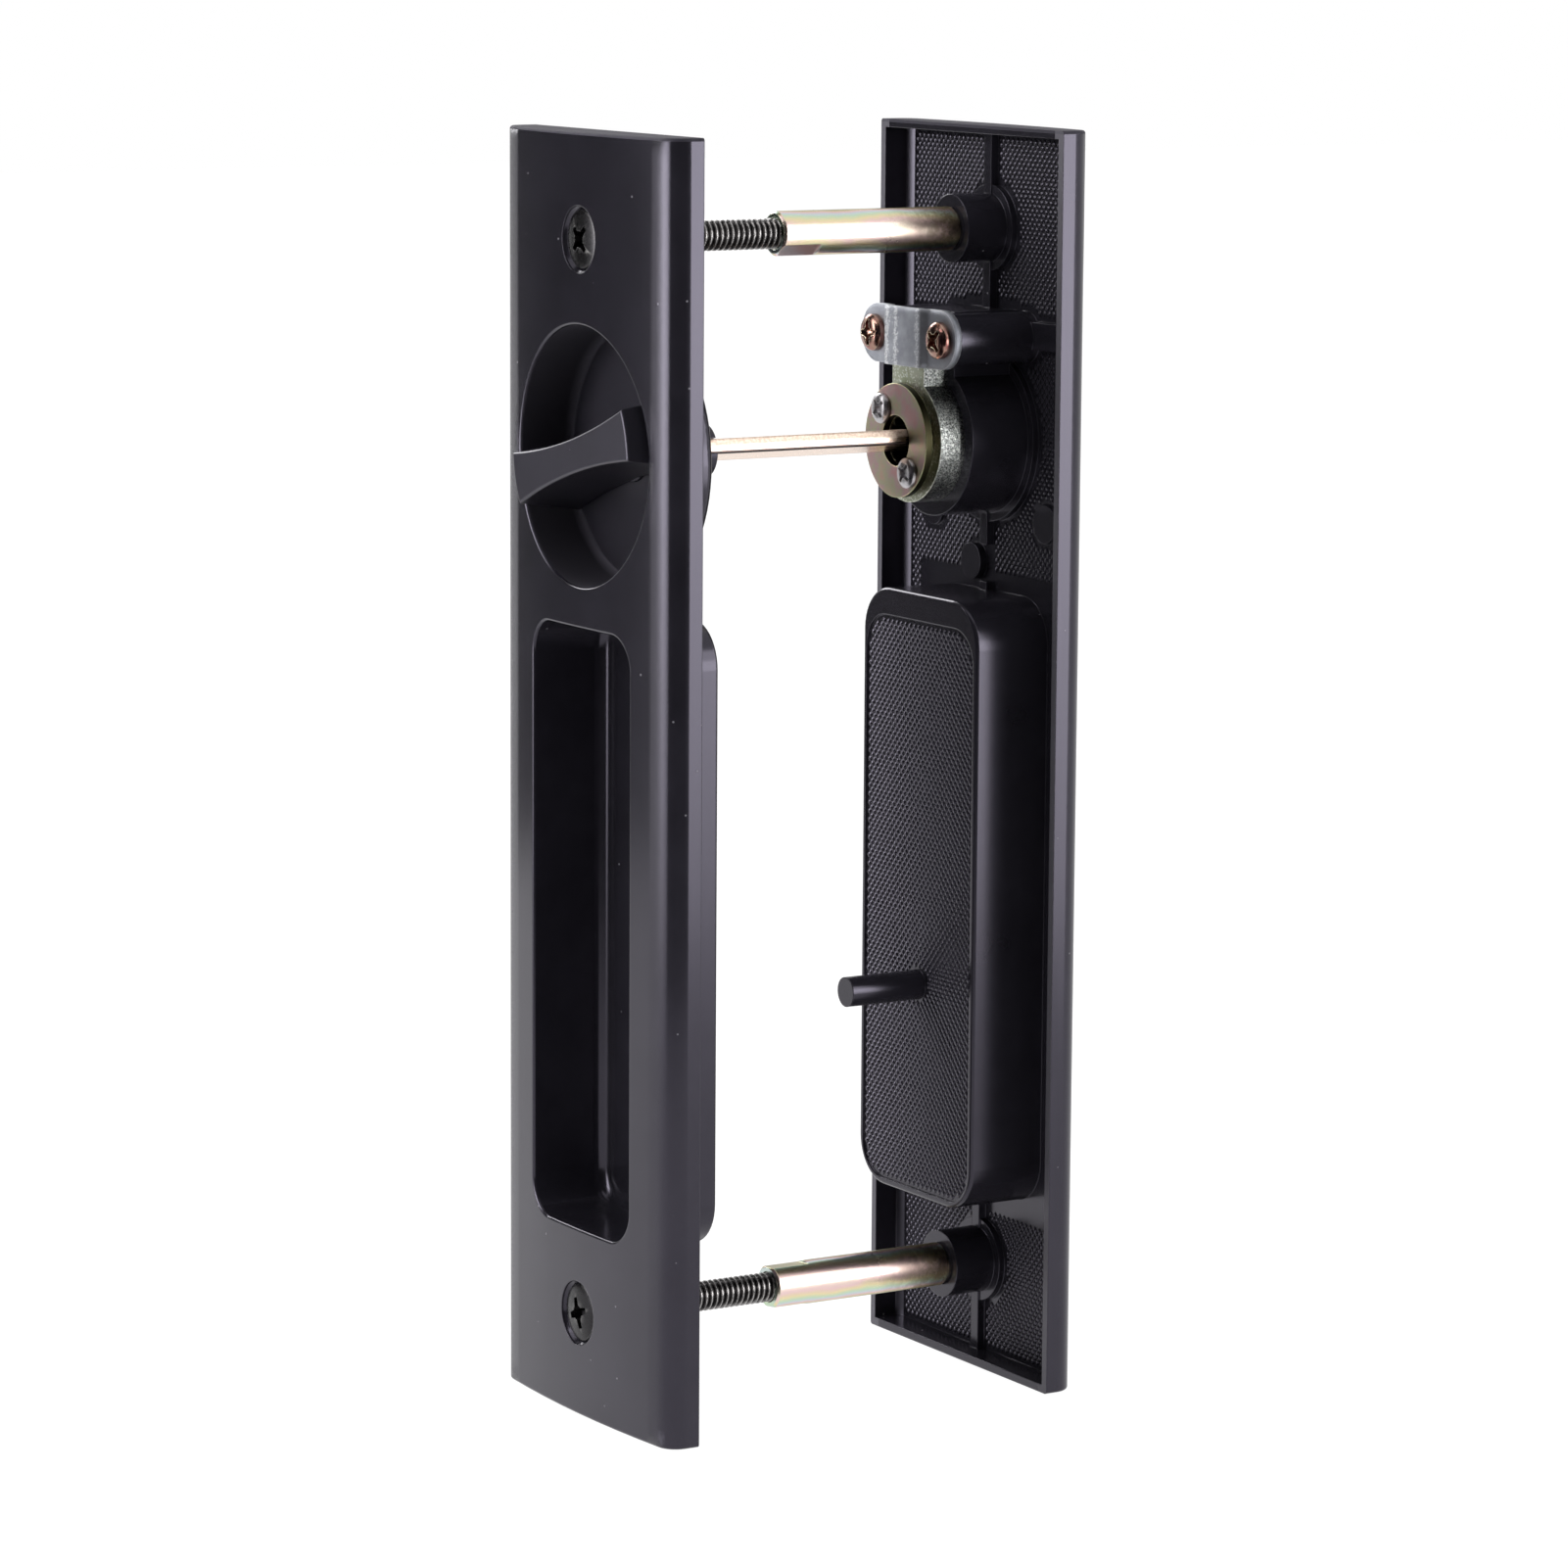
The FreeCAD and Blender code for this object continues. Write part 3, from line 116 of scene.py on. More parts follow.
def cameraAxes():
    az = math.radians(view["azimuth"])
    el = math.radians(view["elevation"])
    roll = math.radians(view["roll"])
    right = Vector((math.cos(az), math.sin(az), 0))
    back = Vector((math.sin(az) * math.cos(el), -math.cos(az) * math.cos(el), math.sin(el)))
    up = back.cross(right)
    turnedRight = right * math.cos(roll) + up * math.sin(roll)
    turnedUp = up * math.cos(roll) - right * math.sin(roll)
    return turnedRight, turnedUp, back


def makeCamera():
    right, up, back = cameraAxes()
    data = bpy.data.cameras.new("photoCamera")
    data.lens = view["lens"]
    data.sensor_width = view["sensor"]
    data.clip_start = 0.05
    data.clip_end = 20
    camera = newObject("photoCamera", data)
    spot = Vector(view["aim"]) + back * view["away"] + right * view["slide"][0] + up * view["slide"][1]
    turned = Matrix((right, up, back)).transposed().to_4x4()
    camera.matrix_world = Matrix.Translation(spot) @ turned
    bpy.context.scene.camera = camera


def makeLamps():
    aim = Vector((0, 0, plateTop / 2))
    for lamp in lamps:
        data = bpy.data.lights.new(lamp["name"], "AREA")
        data.shape = "RECTANGLE"
        data.size, data.size_y = lamp["size"]
        data.energy = lamp["watts"]
        item = newObject(lamp["name"], data)
        item.location = lamp["place"]
        item.visible_camera = False
        item.visible_glossy = lamp.get("gloss", True)
        item.rotation_euler = (aim - item.location).to_track_quat("-Z", "Y").to_euler()


def addNode(tree, kind, spot=(0, 0), **settings):
    node = tree.nodes.new(kind)
    node.location = spot
    for key, value in settings.items():
        setattr(node, key, value)
    return node


def setSockets(node, **values):
    for key, value in values.items():
        node.inputs[key.replace("_", " ")].default_value = value
    return node


def backgroundRays(tree):
    rays = addNode(tree, "ShaderNodeLightPath", (-900, 200))
    gloss = addNode(tree, "ShaderNodeMath", (-700, 200), operation="MAXIMUM")
    tree.links.new(rays.outputs["Is Camera Ray"], gloss.inputs[0])
    tree.links.new(rays.outputs["Is Glossy Ray"], gloss.inputs[1])
    both = addNode(tree, "ShaderNodeMath", (-550, 200), operation="MAXIMUM")
    tree.links.new(gloss.outputs[0], both.inputs[0])
    tree.links.new(rays.outputs["Is Transmission Ray"], both.inputs[1])
    return both.outputs[0]


def cardPaper(card):
    paint = bpy.data.materials.new(card["name"] + "Paper")
    paint.use_nodes = True
    paint.cycles.emission_sampling = "NONE"
    tree = paint.node_tree
    tree.nodes.clear()
    place = addNode(tree, "ShaderNodeTexCoord", (-700, 0))
    axes = addNode(tree, "ShaderNodeSeparateXYZ", (-500, 0))
    shine = addNode(tree, "ShaderNodeMapRange", (-300, 0))
    setSockets(shine, From_Min=0.0, From_Max=shineTop, To_Min=card["shine"][0], To_Max=card["shine"][1])
    glow = addNode(tree, "ShaderNodeEmission", (-100, 0))
    out = addNode(tree, "ShaderNodeOutputMaterial", (100, 0))
    tree.links.new(place.outputs["Object"], axes.inputs[0])
    tree.links.new(axes.outputs["Z"], shine.inputs["Value"])
    tree.links.new(shine.outputs["Result"], glow.inputs["Strength"])
    tree.links.new(glow.outputs[0], out.inputs[0])
    return paint


def makeCards():
    for card in cards:
        points, faces = [], []
        for step in range(cardSteps + 1):
            angle = math.radians(card["from"] + (card["to"] - card["from"]) * step / cardSteps)
            for height in (card["low"], card["high"]):
                points.append((card["away"] * math.sin(angle), -card["away"] * math.cos(angle), height))
            if step:
                faces.append((2 * step - 2, 2 * step, 2 * step + 1, 2 * step - 1))
        mesh = bpy.data.meshes.new(card["name"])
        mesh.from_pydata(points, [], faces)
        mesh.materials.append(cardPaper(card))
        item = newObject(card["name"], mesh)
        item.visible_camera = False
        item.visible_diffuse = False
        item.visible_shadow = False
        item.visible_transmission = False


def makeWorld():
    world = bpy.data.worlds.new("studio")
    bpy.context.scene.world = world
    world.use_nodes = True
    tree = world.node_tree
    tree.nodes.clear()
    seen = addNode(tree, "ShaderNodeBackground", (-200, 100))
    seen.inputs["Color"].default_value = (*stage["white"], 1)
    around = addNode(tree, "ShaderNodeBackground", (-200, -100))
    around.inputs["Color"].default_value = (*stage["white"], 1)
    around.inputs["Strength"].default_value = stage["worldTone"]
    mix = addNode(tree, "ShaderNodeMixShader", (50, 0))
    out = addNode(tree, "ShaderNodeOutputWorld", (250, 0))
    tree.links.new(backgroundRays(tree), mix.inputs[0])
    tree.links.new(around.outputs[0], mix.inputs[1])
    tree.links.new(seen.outputs[0], mix.inputs[2])
    tree.links.new(mix.outputs[0], out.inputs[0])


def makeFloor():
    half = stage["floorHalf"]
    corners = [(-half, -half, 0), (half, -half, 0), (half, half, 0), (-half, half, 0)]
    mesh = bpy.data.meshes.new("paleFloor")
    mesh.from_pydata(corners, [], [(0, 1, 2, 3)])
    floor = newObject("paleFloor", mesh)
    floor.location.z = -stage["floorDrop"]
    paint = bpy.data.materials.new("palePaper")
    paint.use_nodes = True
    tree = paint.node_tree
    tree.nodes.clear()
    keep = addNode(tree, "ShaderNodeMath", (-450, 200), operation="MULTIPLY")
    keep.inputs[1].default_value = 1 - stage["keepShadow"]
    paper = addNode(tree, "ShaderNodeBsdfDiffuse", (-450, 0))
    paper.inputs["Color"].default_value = (*[stage["floorTone"]] * 3, 1)
    glow = addNode(tree, "ShaderNodeEmission", (-450, -150))
    glow.inputs["Strength"].default_value = stage["glow"]
    mix = addNode(tree, "ShaderNodeMixShader", (-200, 0))
    out = addNode(tree, "ShaderNodeOutputMaterial", (50, 0))
    tree.links.new(backgroundRays(tree), keep.inputs[0])
    tree.links.new(keep.outputs[0], mix.inputs[0])
    tree.links.new(paper.outputs[0], mix.inputs[1])
    tree.links.new(glow.outputs[0], mix.inputs[2])
    tree.links.new(mix.outputs[0], out.inputs[0])
    mesh.materials.append(paint)


makeCamera()
makeLamps()
makeCards()
makeWorld()
makeFloor()
bpy.context.scene.view_settings.view_transform = "Standard"
print("handle set: camera, lamps, cards and floor are up")


# Shader parts that several finishes share

def feed(tree, socket, value):
    if isinstance(value, bpy.types.NodeSocket):
        tree.links.new(value, socket)
    else:
        socket.default_value = value


def calc(tree, operation, *values, clamp=False):
    node = addNode(tree, "ShaderNodeMath", operation=operation, use_clamp=clamp)
    for socket, value in zip(node.inputs, values):
        feed(tree, socket, value)
    return node.outputs[0]


def product(tree, first, *others):
    for other in others:
        first = calc(tree, "MULTIPLY", first, other)
    return first


def total(tree, first, *others):
    for other in others:
        first = calc(tree, "ADD", first, other)
    return first


def over(tree, value, limit):
    return calc(tree, "GREATER_THAN", value, limit)


def under(tree, value, limit):
    return calc(tree, "LESS_THAN", value, limit)


def vectorCalc(tree, operation, *values):
    node = addNode(tree, "ShaderNodeVectorMath", operation=operation)
    for socket, value in zip(node.inputs, values):
        feed(tree, socket, value)
    return node.outputs["Value" if operation == "DOT_PRODUCT" else "Vector"]


def axesOf(tree, vector):
    node = addNode(tree, "ShaderNodeSeparateXYZ")
    feed(tree, node.inputs[0], vector)
    return node.outputs


def facingY(tree):
    # 1 where a face looks along Y, 0 where it stands across it
    normal = addNode(tree, "ShaderNodeNewGeometry").outputs["Normal"]
    return calc(tree, "ABSOLUTE", axesOf(tree, normal)["Y"])


def mixColour(tree, factor, first, second):
    node = addNode(tree, "ShaderNodeMix", data_type="RGBA")
    for number, value in ((0, factor), (6, first), (7, second)):
        if isinstance(value, tuple):
            value = (*value, 1)
        feed(tree, node.inputs[number], value)
    return node.outputs[2]


def colourRamp(tree, factor, stops):
    node = addNode(tree, "ShaderNodeValToRGB")
    bar = node.color_ramp.elements
    bar[0].position, bar[1].position = stops[0][0], stops[-1][0]
    bar[0].color, bar[1].color = (*stops[0][1], 1), (*stops[-1][1], 1)
    for spot, colour in stops[1:-1]:
        bar.new(spot).color = (*colour, 1)
    feed(tree, node.inputs[0], factor)
    return node.outputs["Color"]


def spread(tree, value, low, high, fromLow=0.0, fromHigh=1.0):
    node = addNode(tree, "ShaderNodeMapRange")
    for number, entry in enumerate((value, fromLow, fromHigh, low, high)):
        feed(tree, node.inputs[number], entry)
    return node.outputs[0]


def noise(tree, where, scale, detail=2.0, roughness=0.5):
    node = addNode(tree, "ShaderNodeTexNoise")
    setSockets(node, Detail=detail, Roughness=roughness)
    feed(tree, node.inputs["Vector"], where)
    feed(tree, node.inputs["Scale"], scale)
    return node.outputs["Fac"]


def cellPattern(tree, where, scale):
    # how far the nearest cell's middle is, and three random shares of each cell
    cells = addNode(tree, "ShaderNodeTexVoronoi")
    feed(tree, cells.inputs["Vector"], where)
    feed(tree, cells.inputs["Scale"], scale)
    pick = addNode(tree, "ShaderNodeSeparateColor")
    feed(tree, pick.inputs[0], cells.outputs["Color"])
    return cells.outputs["Distance"], pick.outputs


def newGroup(name, takes, gives):
    group = bpy.data.node_groups.new(name, "ShaderNodeTree")
    for label, value in takes.items():
        group.interface.new_socket(label, in_out="INPUT", socket_type="NodeSocketFloat").default_value = value
    for label, kind in gives.items():
        group.interface.new_socket(label, in_out="OUTPUT", socket_type="NodeSocket" + kind)
    given = addNode(group, "NodeGroupInput", (-900, 0))
    shown = addNode(group, "NodeGroupOutput", (900, 0))
    where = addNode(group, "ShaderNodeTexCoord", (-900, -300)).outputs["Object"]
    return group, given.outputs, shown.inputs, where


def useGroup(tree, name, **values):
    node = addNode(tree, "ShaderNodeGroup", node_tree=bpy.data.node_groups[name])
    for key, value in values.items():
        feed(tree, node.inputs[key.replace("_", " ")], value)
    return node.outputs


# Noise from which an edge is rubbed at no cover, how far full cover lowers that, and how
# softly the rubbing sets in
wearNoise = {"bare": 0.72, "gain": 0.45, "soft": 0.12}


def makeEdgeWear():
    group, given, shown, where = newGroup(
        "edgeWear", {"Reach": 0.0002, "Gain": 4.0, "Patch Scale": 900.0, "Patch Cover": 0.5},
        {"Mask": "Float", "Rounded": "Vector"})
    rounded = addNode(group, "ShaderNodeBevel", samples=6)
    feed(group, rounded.inputs["Radius"], given["Reach"])
    flat = addNode(group, "ShaderNodeNewGeometry")
    same = vectorCalc(group, "DOT_PRODUCT", rounded.outputs["Normal"], flat.outputs["Normal"])
    edge = calc(group, "MULTIPLY", calc(group, "SUBTRACT", 1.0, same), given["Gain"], clamp=True)
    patch = noise(group, where, given["Patch Scale"], 4.0, 0.6)
    covered = product(group, given["Patch Cover"], wearNoise["gain"])
    start = calc(group, "SUBTRACT", wearNoise["bare"], covered)
    patch = spread(group, patch, 0.0, 1.0, start, total(group, start, wearNoise["soft"]))
    feed(group, shown["Mask"], product(group, edge, patch))
    feed(group, shown["Rounded"], rounded.outputs["Normal"])


def makeBrushedGrain():
    group, given, shown, where = newGroup(
        "brushedGrain", {"Along": 60.0, "Across": 9000.0}, {"Grain": "Float"})
    stretch = addNode(group, "ShaderNodeCombineXYZ")
    for axis, label in zip("XYZ", ("Across", "Across", "Along")):
        feed(group, stretch.inputs[axis], given[label])
    lines = noise(group, vectorCalc(group, "MULTIPLY", where, stretch.outputs[0]), 1.0, 3.0, 0.65)
    feed(group, shown["Grain"], lines)


def makeDustSpecks():
    group, given, shown, where = newGroup(
        "dustSpecks", {"Scale": 420.0, "Size": 0.07, "Share": 0.3}, {"Mask": "Float"})
    distance, shares = cellPattern(group, where, given["Scale"])
    near = under(group, distance, given["Size"])
    feed(group, shown["Mask"], product(group, near, under(group, shares[0], given["Share"])))


# Scale of the lumps as a share of the grain's, how much its cells add to the height, and
# the random share from which a cell glints
castCells = {"coarse": 0.35, "high": 0.6, "glintFrom": 0.82}


def makeCastGrain():
    group, given, shown, where = newGroup(
        "castGrain", {"Scale": 2600.0}, {"Height": "Float", "Glint": "Float"})
    coarse = noise(group, where, product(group, given["Scale"], castCells["coarse"]), 3.0, 0.7)
    distance, shares = cellPattern(group, where, given["Scale"])
    feed(group, shown["Height"], total(group, coarse, product(group, distance, castCells["high"])))
    feed(group, shown["Glint"], over(group, shares[1], castCells["glintFrom"]))


# Where a plate's finish changes, in millimetres: across from its middle, in from its crown,
# and up and down from the pocket's middle. The two facing values are shares of facingY.
zones = {
    "topBand": 0.42,               # dull edge of the top end
    "shoulder": (16.9, 17.7),      # where the face turns into the side
    "shoulderDeep": (0.95, 1.55),
    "hollowHalf": 20.95, "hollowDeep": 1.62, "lipDeep": 5.5,
    "rimHalf": 20.0, "rimDeep": 2.4, "rimFacing": 0.8,
    "gripWide": 12.75, "gripHigh": 39.4, "gripDeep": 11.25,
    "cupDeep": 8.4, "cupLip": 0.5, "floorFacing": 0.985,
}


def makeDoorSide():
    # marks the as-cast back of a plate, and not its skin, cup or finger pocket
    group, given, shown, where = newGroup("doorSide", {"Crown": 0.032, "Cup": 0.0}, {
        "Mask": "Float", "Raised": "Float", "Bowl": "Float", "Wall": "Float", "Top": "Float",
        "Shoulder": "Float"})
    axes = axesOf(group, where)
    crown = calc(group, "ABSOLUTE", given["Crown"])
    x = calc(group, "ABSOLUTE", axes["X"])
    depth = calc(group, "SUBTRACT", crown, calc(group, "ABSOLUTE", axes["Y"]))
    fromGrip = calc(group, "ABSOLUTE", calc(group, "SUBTRACT", axes["Z"], gripMiddle * mm))
    fromAxis = calc(group, "SUBTRACT", axes["Z"], turnAxis)
    away = calc(group, "SQRT", total(group, product(group, x, x), product(group, fromAxis, fromAxis)))
    facing = facingY(group)

    shoulderFrom, shoulderTo = zones["shoulder"]
    shallow, deep = zones["shoulderDeep"]
    feed(group, shown["Top"], over(group, axes["Z"], plateTop - zones["topBand"] * mm))
    feed(group, shown["Shoulder"], product(
        group, spread(group, x, 0.0, 1.0, shoulderFrom * mm, shoulderTo * mm),
        spread(group, depth, 1.0, 0.0, shallow * mm, deep * mm)))

    within = under(group, x, zones["hollowHalf"] * mm)
    past = over(group, depth, zones["lipDeep"] * mm)
    hollow = calc(group, "MAXIMUM", within, past)
    behind = product(group, hollow, over(group, depth, zones["hollowDeep"] * mm))
    grip = product(group, under(group, x, zones["gripWide"] * mm),
                   under(group, fromGrip, zones["gripHigh"] * mm),
                   under(group, depth, zones["gripDeep"] * mm))
    cup = product(group, under(group, away, given["Cup"]), under(group, depth, zones["cupDeep"] * mm))
    back = product(group, behind, calc(group, "SUBTRACT", 1.0, calc(group, "MAXIMUM", grip, cup)))
    # painted sheen: the front-facing rim ends at the sides of a plate's back, which are coloured paler
    rim = product(group, over(group, facing, zones["rimFacing"]), over(group, depth, zones["rimDeep"] * mm),
                  over(group, x, zones["rimHalf"] * mm))
    feed(group, shown["Mask"], back)
    feed(group, shown["Raised"], product(group, back, rim))
    feed(group, shown["Bowl"], product(group, cup, over(group, depth, zones["cupLip"] * mm)))
    feed(group, shown["Wall"], calc(group, "SUBTRACT", 1.0, over(group, facing, zones["floorFacing"])))


def makePlatedHueAndEdgeShade():
    group, given, shown, where = newGroup(
        "platedHueAndEdgeShade", {"Facing": 0.5, "Drift Scale": 160.0, "Drift": 0.5}, {"Color": "Color"})
    drift = calc(group, "SUBTRACT", noise(group, where, given["Drift Scale"], 3.0, 0.55), 0.5)
    turn = total(group, given["Facing"], product(group, drift, given["Drift"]))
    # the plating's iridescent hues by viewing angle, and painted shade: darker olive towards the glancing
    # edges
    hueAndEdgeShade = colourRamp(group, turn, [
        (0.02, (0.78, 0.70, 0.56)), (0.16, (0.80, 0.58, 0.56)), (0.27, (0.78, 0.68, 0.42)),
        (0.38, (0.54, 0.68, 0.50)), (0.48, (0.56, 0.62, 0.66)), (0.58, (0.72, 0.50, 0.50)),
        (0.70, (0.52, 0.44, 0.22)), (0.84, (0.26, 0.25, 0.12)), (1.0, (0.17, 0.155, 0.08)),
    ])
    feed(group, shown["Color"], hueAndEdgeShade)


makeEdgeWear()
makeBrushedGrain()
makeDustSpecks()
makeCastGrain()
makeDoorSide()
makePlatedHueAndEdgeShade()


# Finishes

# Black satin lacquer. satin is its roughness, brush and specks are how much of its brushed
# lines and dust shows, lift pales it, and shine is its specular level.
coat = {
    "deep": (0.0120, 0.0112, 0.0150),
    "cloudy": 1.5,                    # how much paler its clouds are
    "worn": (0.035, 0.033, 0.040),
    "dust": (0.34, 0.33, 0.36),
    "tint": (0.86, 0.80, 1.0),
    "edgeReach": 0.00022,
    "shoulderReach": 0.0024,
    "grainRough": 0.10, "castRough": 0.03, "speckRough": 0.3,
    "rimRough": 0.24, "topRough": 0.5, "bowlRough": 0.10, "wallRough": 0.55,
    "rim": (0.092, 0.089, 0.102),     # painted sheen on the front-facing ends of the plates' rims
    # painted light: the cup's side walls are coloured paler than the coat, against their shade
    "cupWall": (0.016, 0.015, 0.019),
}
coatKinds = {
    "frontCoat": {"satin": 0.18, "brush": 1.0, "specks": 0.5, "lift": 0.0, "shine": 0.5,
                  "crown": frontCrown, "cup": 0.01685},
    "rearCoat": {"satin": 0.19, "brush": 1.0, "specks": 0.5, "lift": 0.0, "shine": 0.5,
                 "crown": rearCrown, "cup": 0.0},
    "knobCoat": {"satin": 0.34, "brush": 0.3, "specks": 0.4, "lift": 0.0, "shine": 0.5},
    "knurlCoat": {"satin": 0.17, "brush": 0.0, "specks": 0.0, "lift": 0.001, "shine": 0.5},
    "panelCoat": {"satin": 0.16, "brush": 0.0, "specks": 0.0, "lift": 0.001, "shine": 0.85},
}


def newFinish(name, colour, metallic, roughness):
    paint = bpy.data.materials.new(name)
    paint.use_nodes = True
    tree = paint.node_tree
    shader = tree.nodes["Principled BSDF"]
    setSockets(shader, Base_Color=(*colour, 1), Metallic=metallic, Roughness=roughness)
    where = addNode(tree, "ShaderNodeTexCoord", (-1200, 0)).outputs["Object"]
    return paint, tree, shader, where


def raised(tree, shader, height, distance, strength, normal):
    bump = addNode(tree, "ShaderNodeBump", (-250, -300))
    setSockets(bump, Strength=strength, Distance=distance)
    feed(tree, bump.inputs["Height"], height)
    feed(tree, bump.inputs["Normal"], normal)
    feed(tree, shader.inputs["Normal"], bump.outputs[0])


def dressPlate(tree, kind, colour, grain, rounded):
    # what only the plates have: cast backs, a painted sheen on the rims' ends, a rough cup with painted light
    # on its walls, and eased shoulders
    side = useGroup(tree, "doorSide", Crown=kind["crown"], Cup=kind["cup"])
    unbrushed = calc(tree, "MAXIMUM", side["Mask"], side["Bowl"])
    brushed = calc(tree, "SUBTRACT", 1.0, unbrushed)
    grain = total(tree, product(tree, grain, brushed), product(tree, unbrushed, 0.5))
    cast = useGroup(tree, "castGrain", Scale=1500.0)["Height"]
    wall = product(tree, side["Bowl"], side["Wall"])
    dull = [product(tree, side["Mask"], cast, coat["castRough"])]
    for mask, amount in ((side["Raised"], "rimRough"), (side["Top"], "topRough"), (side["Bowl"], "bowlRough"),
                         (wall, "wallRough")):
        dull.append(product(tree, mask, coat[amount]))
    # painted sheen on the rims' ends, paler than the coat
    colour = mixColour(tree, side["Raised"], colour, coat["rim"])
    # painted light on the cup's side walls
    colour = mixColour(tree, wall, colour, coat["cupWall"])
    eased = useGroup(tree, "edgeWear", Reach=coat["shoulderReach"])["Rounded"]
    turn = vectorCalc(tree, "MULTIPLY", vectorCalc(tree, "SUBTRACT", eased, rounded), side["Shoulder"])
    rounded = vectorCalc(tree, "NORMALIZE", vectorCalc(tree, "ADD", rounded, turn))
    return colour, grain, rounded, dull


def makeCoat(name):
    kind = coatKinds[name]
    paint, tree, shader, where = newFinish(name, coat["deep"], 0.0, kind["satin"])
    setSockets(shader, Specular_Tint=(*coat["tint"], 1), Specular_IOR_Level=kind["shine"])
    wear = useGroup(tree, "edgeWear", Reach=coat["edgeReach"], Gain=2.0, Patch_Scale=700.0, Patch_Cover=0.9)
    grain = useGroup(tree, "brushedGrain", Along=45.0, Across=7000.0)["Grain"]
    specks = useGroup(tree, "dustSpecks", Scale=330.0, Size=0.045, Share=0.35)["Mask"]
    cloud = noise(tree, where, 90.0, 3.0, 0.6)
    deep = tuple(part + kind["lift"] for part in coat["deep"])
    pale = tuple(part * coat["cloudy"] + kind["lift"] for part in coat["deep"])
    colour = mixColour(tree, spread(tree, cloud, 0.0, 1.0, 0.3, 0.7), deep, pale)
    colour = mixColour(tree, wear["Mask"], colour, coat["worn"])
    colour = mixColour(tree, product(tree, specks, kind["specks"]), colour, coat["dust"])
    rounded, dull = wear["Rounded"], []
    if "crown" in kind:
        colour, grain, rounded, dull = dressPlate(tree, kind, colour, grain, rounded)
    smoothest = kind["satin"] - coat["grainRough"] / 2
    rough = total(tree, smoothest, product(tree, grain, coat["grainRough"]), *dull,
                  product(tree, specks, coat["speckRough"]))
    feed(tree, shader.inputs["Base Color"], colour)
    feed(tree, shader.inputs["Roughness"], rough)
    height = total(tree, product(tree, grain, kind["brush"]), specks)
    raised(tree, shader, height, 0.00001, 0.22, rounded)
    return paint


screwHead = 4.0                  # millimetres from the front crown to a through screw's thread
stainReach = (0.0120, 0.0215)    # metres along Y, where the sleeves' stains begin and are full


def makeBlackNickel():
    paint, tree, shader, where = newFinish("blackNickel", (0.06, 0.057, 0.058), 1.0, 0.24)
    rounded = useGroup(tree, "edgeWear", Reach=0.00012)["Rounded"]
    blotch = noise(tree, where, 1500.0, 4.0, 0.6)
    mottle = spread(tree, blotch, 0.0, 1.0, 0.35, 0.65)
    colour = mixColour(tree, mottle, (0.040, 0.038, 0.040), (0.095, 0.09, 0.09))
    pointy = addNode(tree, "ShaderNodeNewGeometry").outputs["Pointiness"]
    shank = over(tree, axesOf(tree, where)["Y"], frontCrown + screwHead * mm)
    colour = mixColour(tree, shank, (0.026, 0.025, 0.027), colour)
    # painted highlight: pointy edges such as the thread crests are coloured pale, less so on the head
    paintedCrestHighlight = product(tree, spread(tree, pointy, 0.0, 1.0, 0.52, 0.60), spread(tree, shank, 0.3, 1.0),
                     spread(tree, blotch, 0.35, 1.0, 0.36, 0.52))
    feed(tree, shader.inputs["Base Color"], mixColour(tree, paintedCrestHighlight, colour, (0.62, 0.60, 0.59)))
    feed(tree, shader.inputs["Roughness"], spread(tree, blotch, 0.18, 0.36))
    raised(tree, shader, blotch, 0.00002, 0.3, rounded)
    return paint


def makeYellowZinc():
    paint, tree, shader, where = newFinish("yellowZinc", (0.85, 0.72, 0.50), 1.0, 0.22)
    facing = addNode(tree, "ShaderNodeLayerWeight")
    setSockets(facing, Blend=0.45)
    # plating hues, with painted shade towards the glancing edges
    hueAndEdgeShade = useGroup(tree, "platedHueAndEdgeShade", Facing=facing.outputs["Facing"], Drift_Scale=110.0, Drift=0.45)["Color"]
    wear = useGroup(tree, "edgeWear", Reach=0.0002, Gain=3.0, Patch_Scale=900.0, Patch_Cover=0.7)
    nearBoss = spread(tree, axesOf(tree, where)["Y"], 0.0, 1.0, *stainReach)
    stain = noise(tree, where, 900.0, 6.0, 0.7)
    stained = product(tree, spread(tree, stain, 0.2, 1.0, 0.36, 0.56), nearBoss)
    colour = mixColour(tree, product(tree, stained, 0.85), hueAndEdgeShade, (0.19, 0.135, 0.085))
    colour = mixColour(tree, product(tree, wear["Mask"], 0.6), colour, (0.92, 0.86, 0.70))
    feed(tree, shader.inputs["Base Color"], colour)
    feed(tree, shader.inputs["Roughness"], total(tree, 0.26, product(tree, stained, 0.22)))
    lathed = useGroup(tree, "castGrain", Scale=1800.0)["Height"]
    raised(tree, shader, lathed, 0.00002, 0.15, wear["Rounded"])
    return paint


def makeCastZinc():
    paint, tree, shader, where = newFinish("castZinc", (0.40, 0.42, 0.36), 1.0, 0.30)
    cast = useGroup(tree, "castGrain", Scale=4600.0)
    wear = useGroup(tree, "edgeWear", Reach=0.0002, Gain=4.0, Patch_Scale=1300.0, Patch_Cover=0.8)
    tint = noise(tree, where, 240.0, 2.0, 0.5)
    speckle = spread(tree, noise(tree, where, 5200.0, 3.0, 0.7), 0.0, 1.0, 0.40, 0.62)
    dark = mixColour(tree, speckle, (0.055, 0.058, 0.055), (0.60, 0.62, 0.60))
    pale = mixColour(tree, spread(tree, tint, 0.0, 1.0, 0.35, 0.65), (0.30, 0.33, 0.22), (0.44, 0.46, 0.36))
    colour = mixColour(tree, spread(tree, facingY(tree), 0.0, 1.0, 0.4, 0.8), dark, pale)
    colour = mixColour(tree, product(tree, cast["Glint"], 0.55), colour, (0.86, 0.88, 0.84))
    feed(tree, shader.inputs["Base Color"], mixColour(tree, wear["Mask"], colour, (0.85, 0.84, 0.72)))
    feed(tree, shader.inputs["Roughness"], spread(tree, cast["Height"], 0.20, 0.42))
    raised(tree, shader, cast["Height"], 0.00007, 0.9, wear["Rounded"])
    return paint


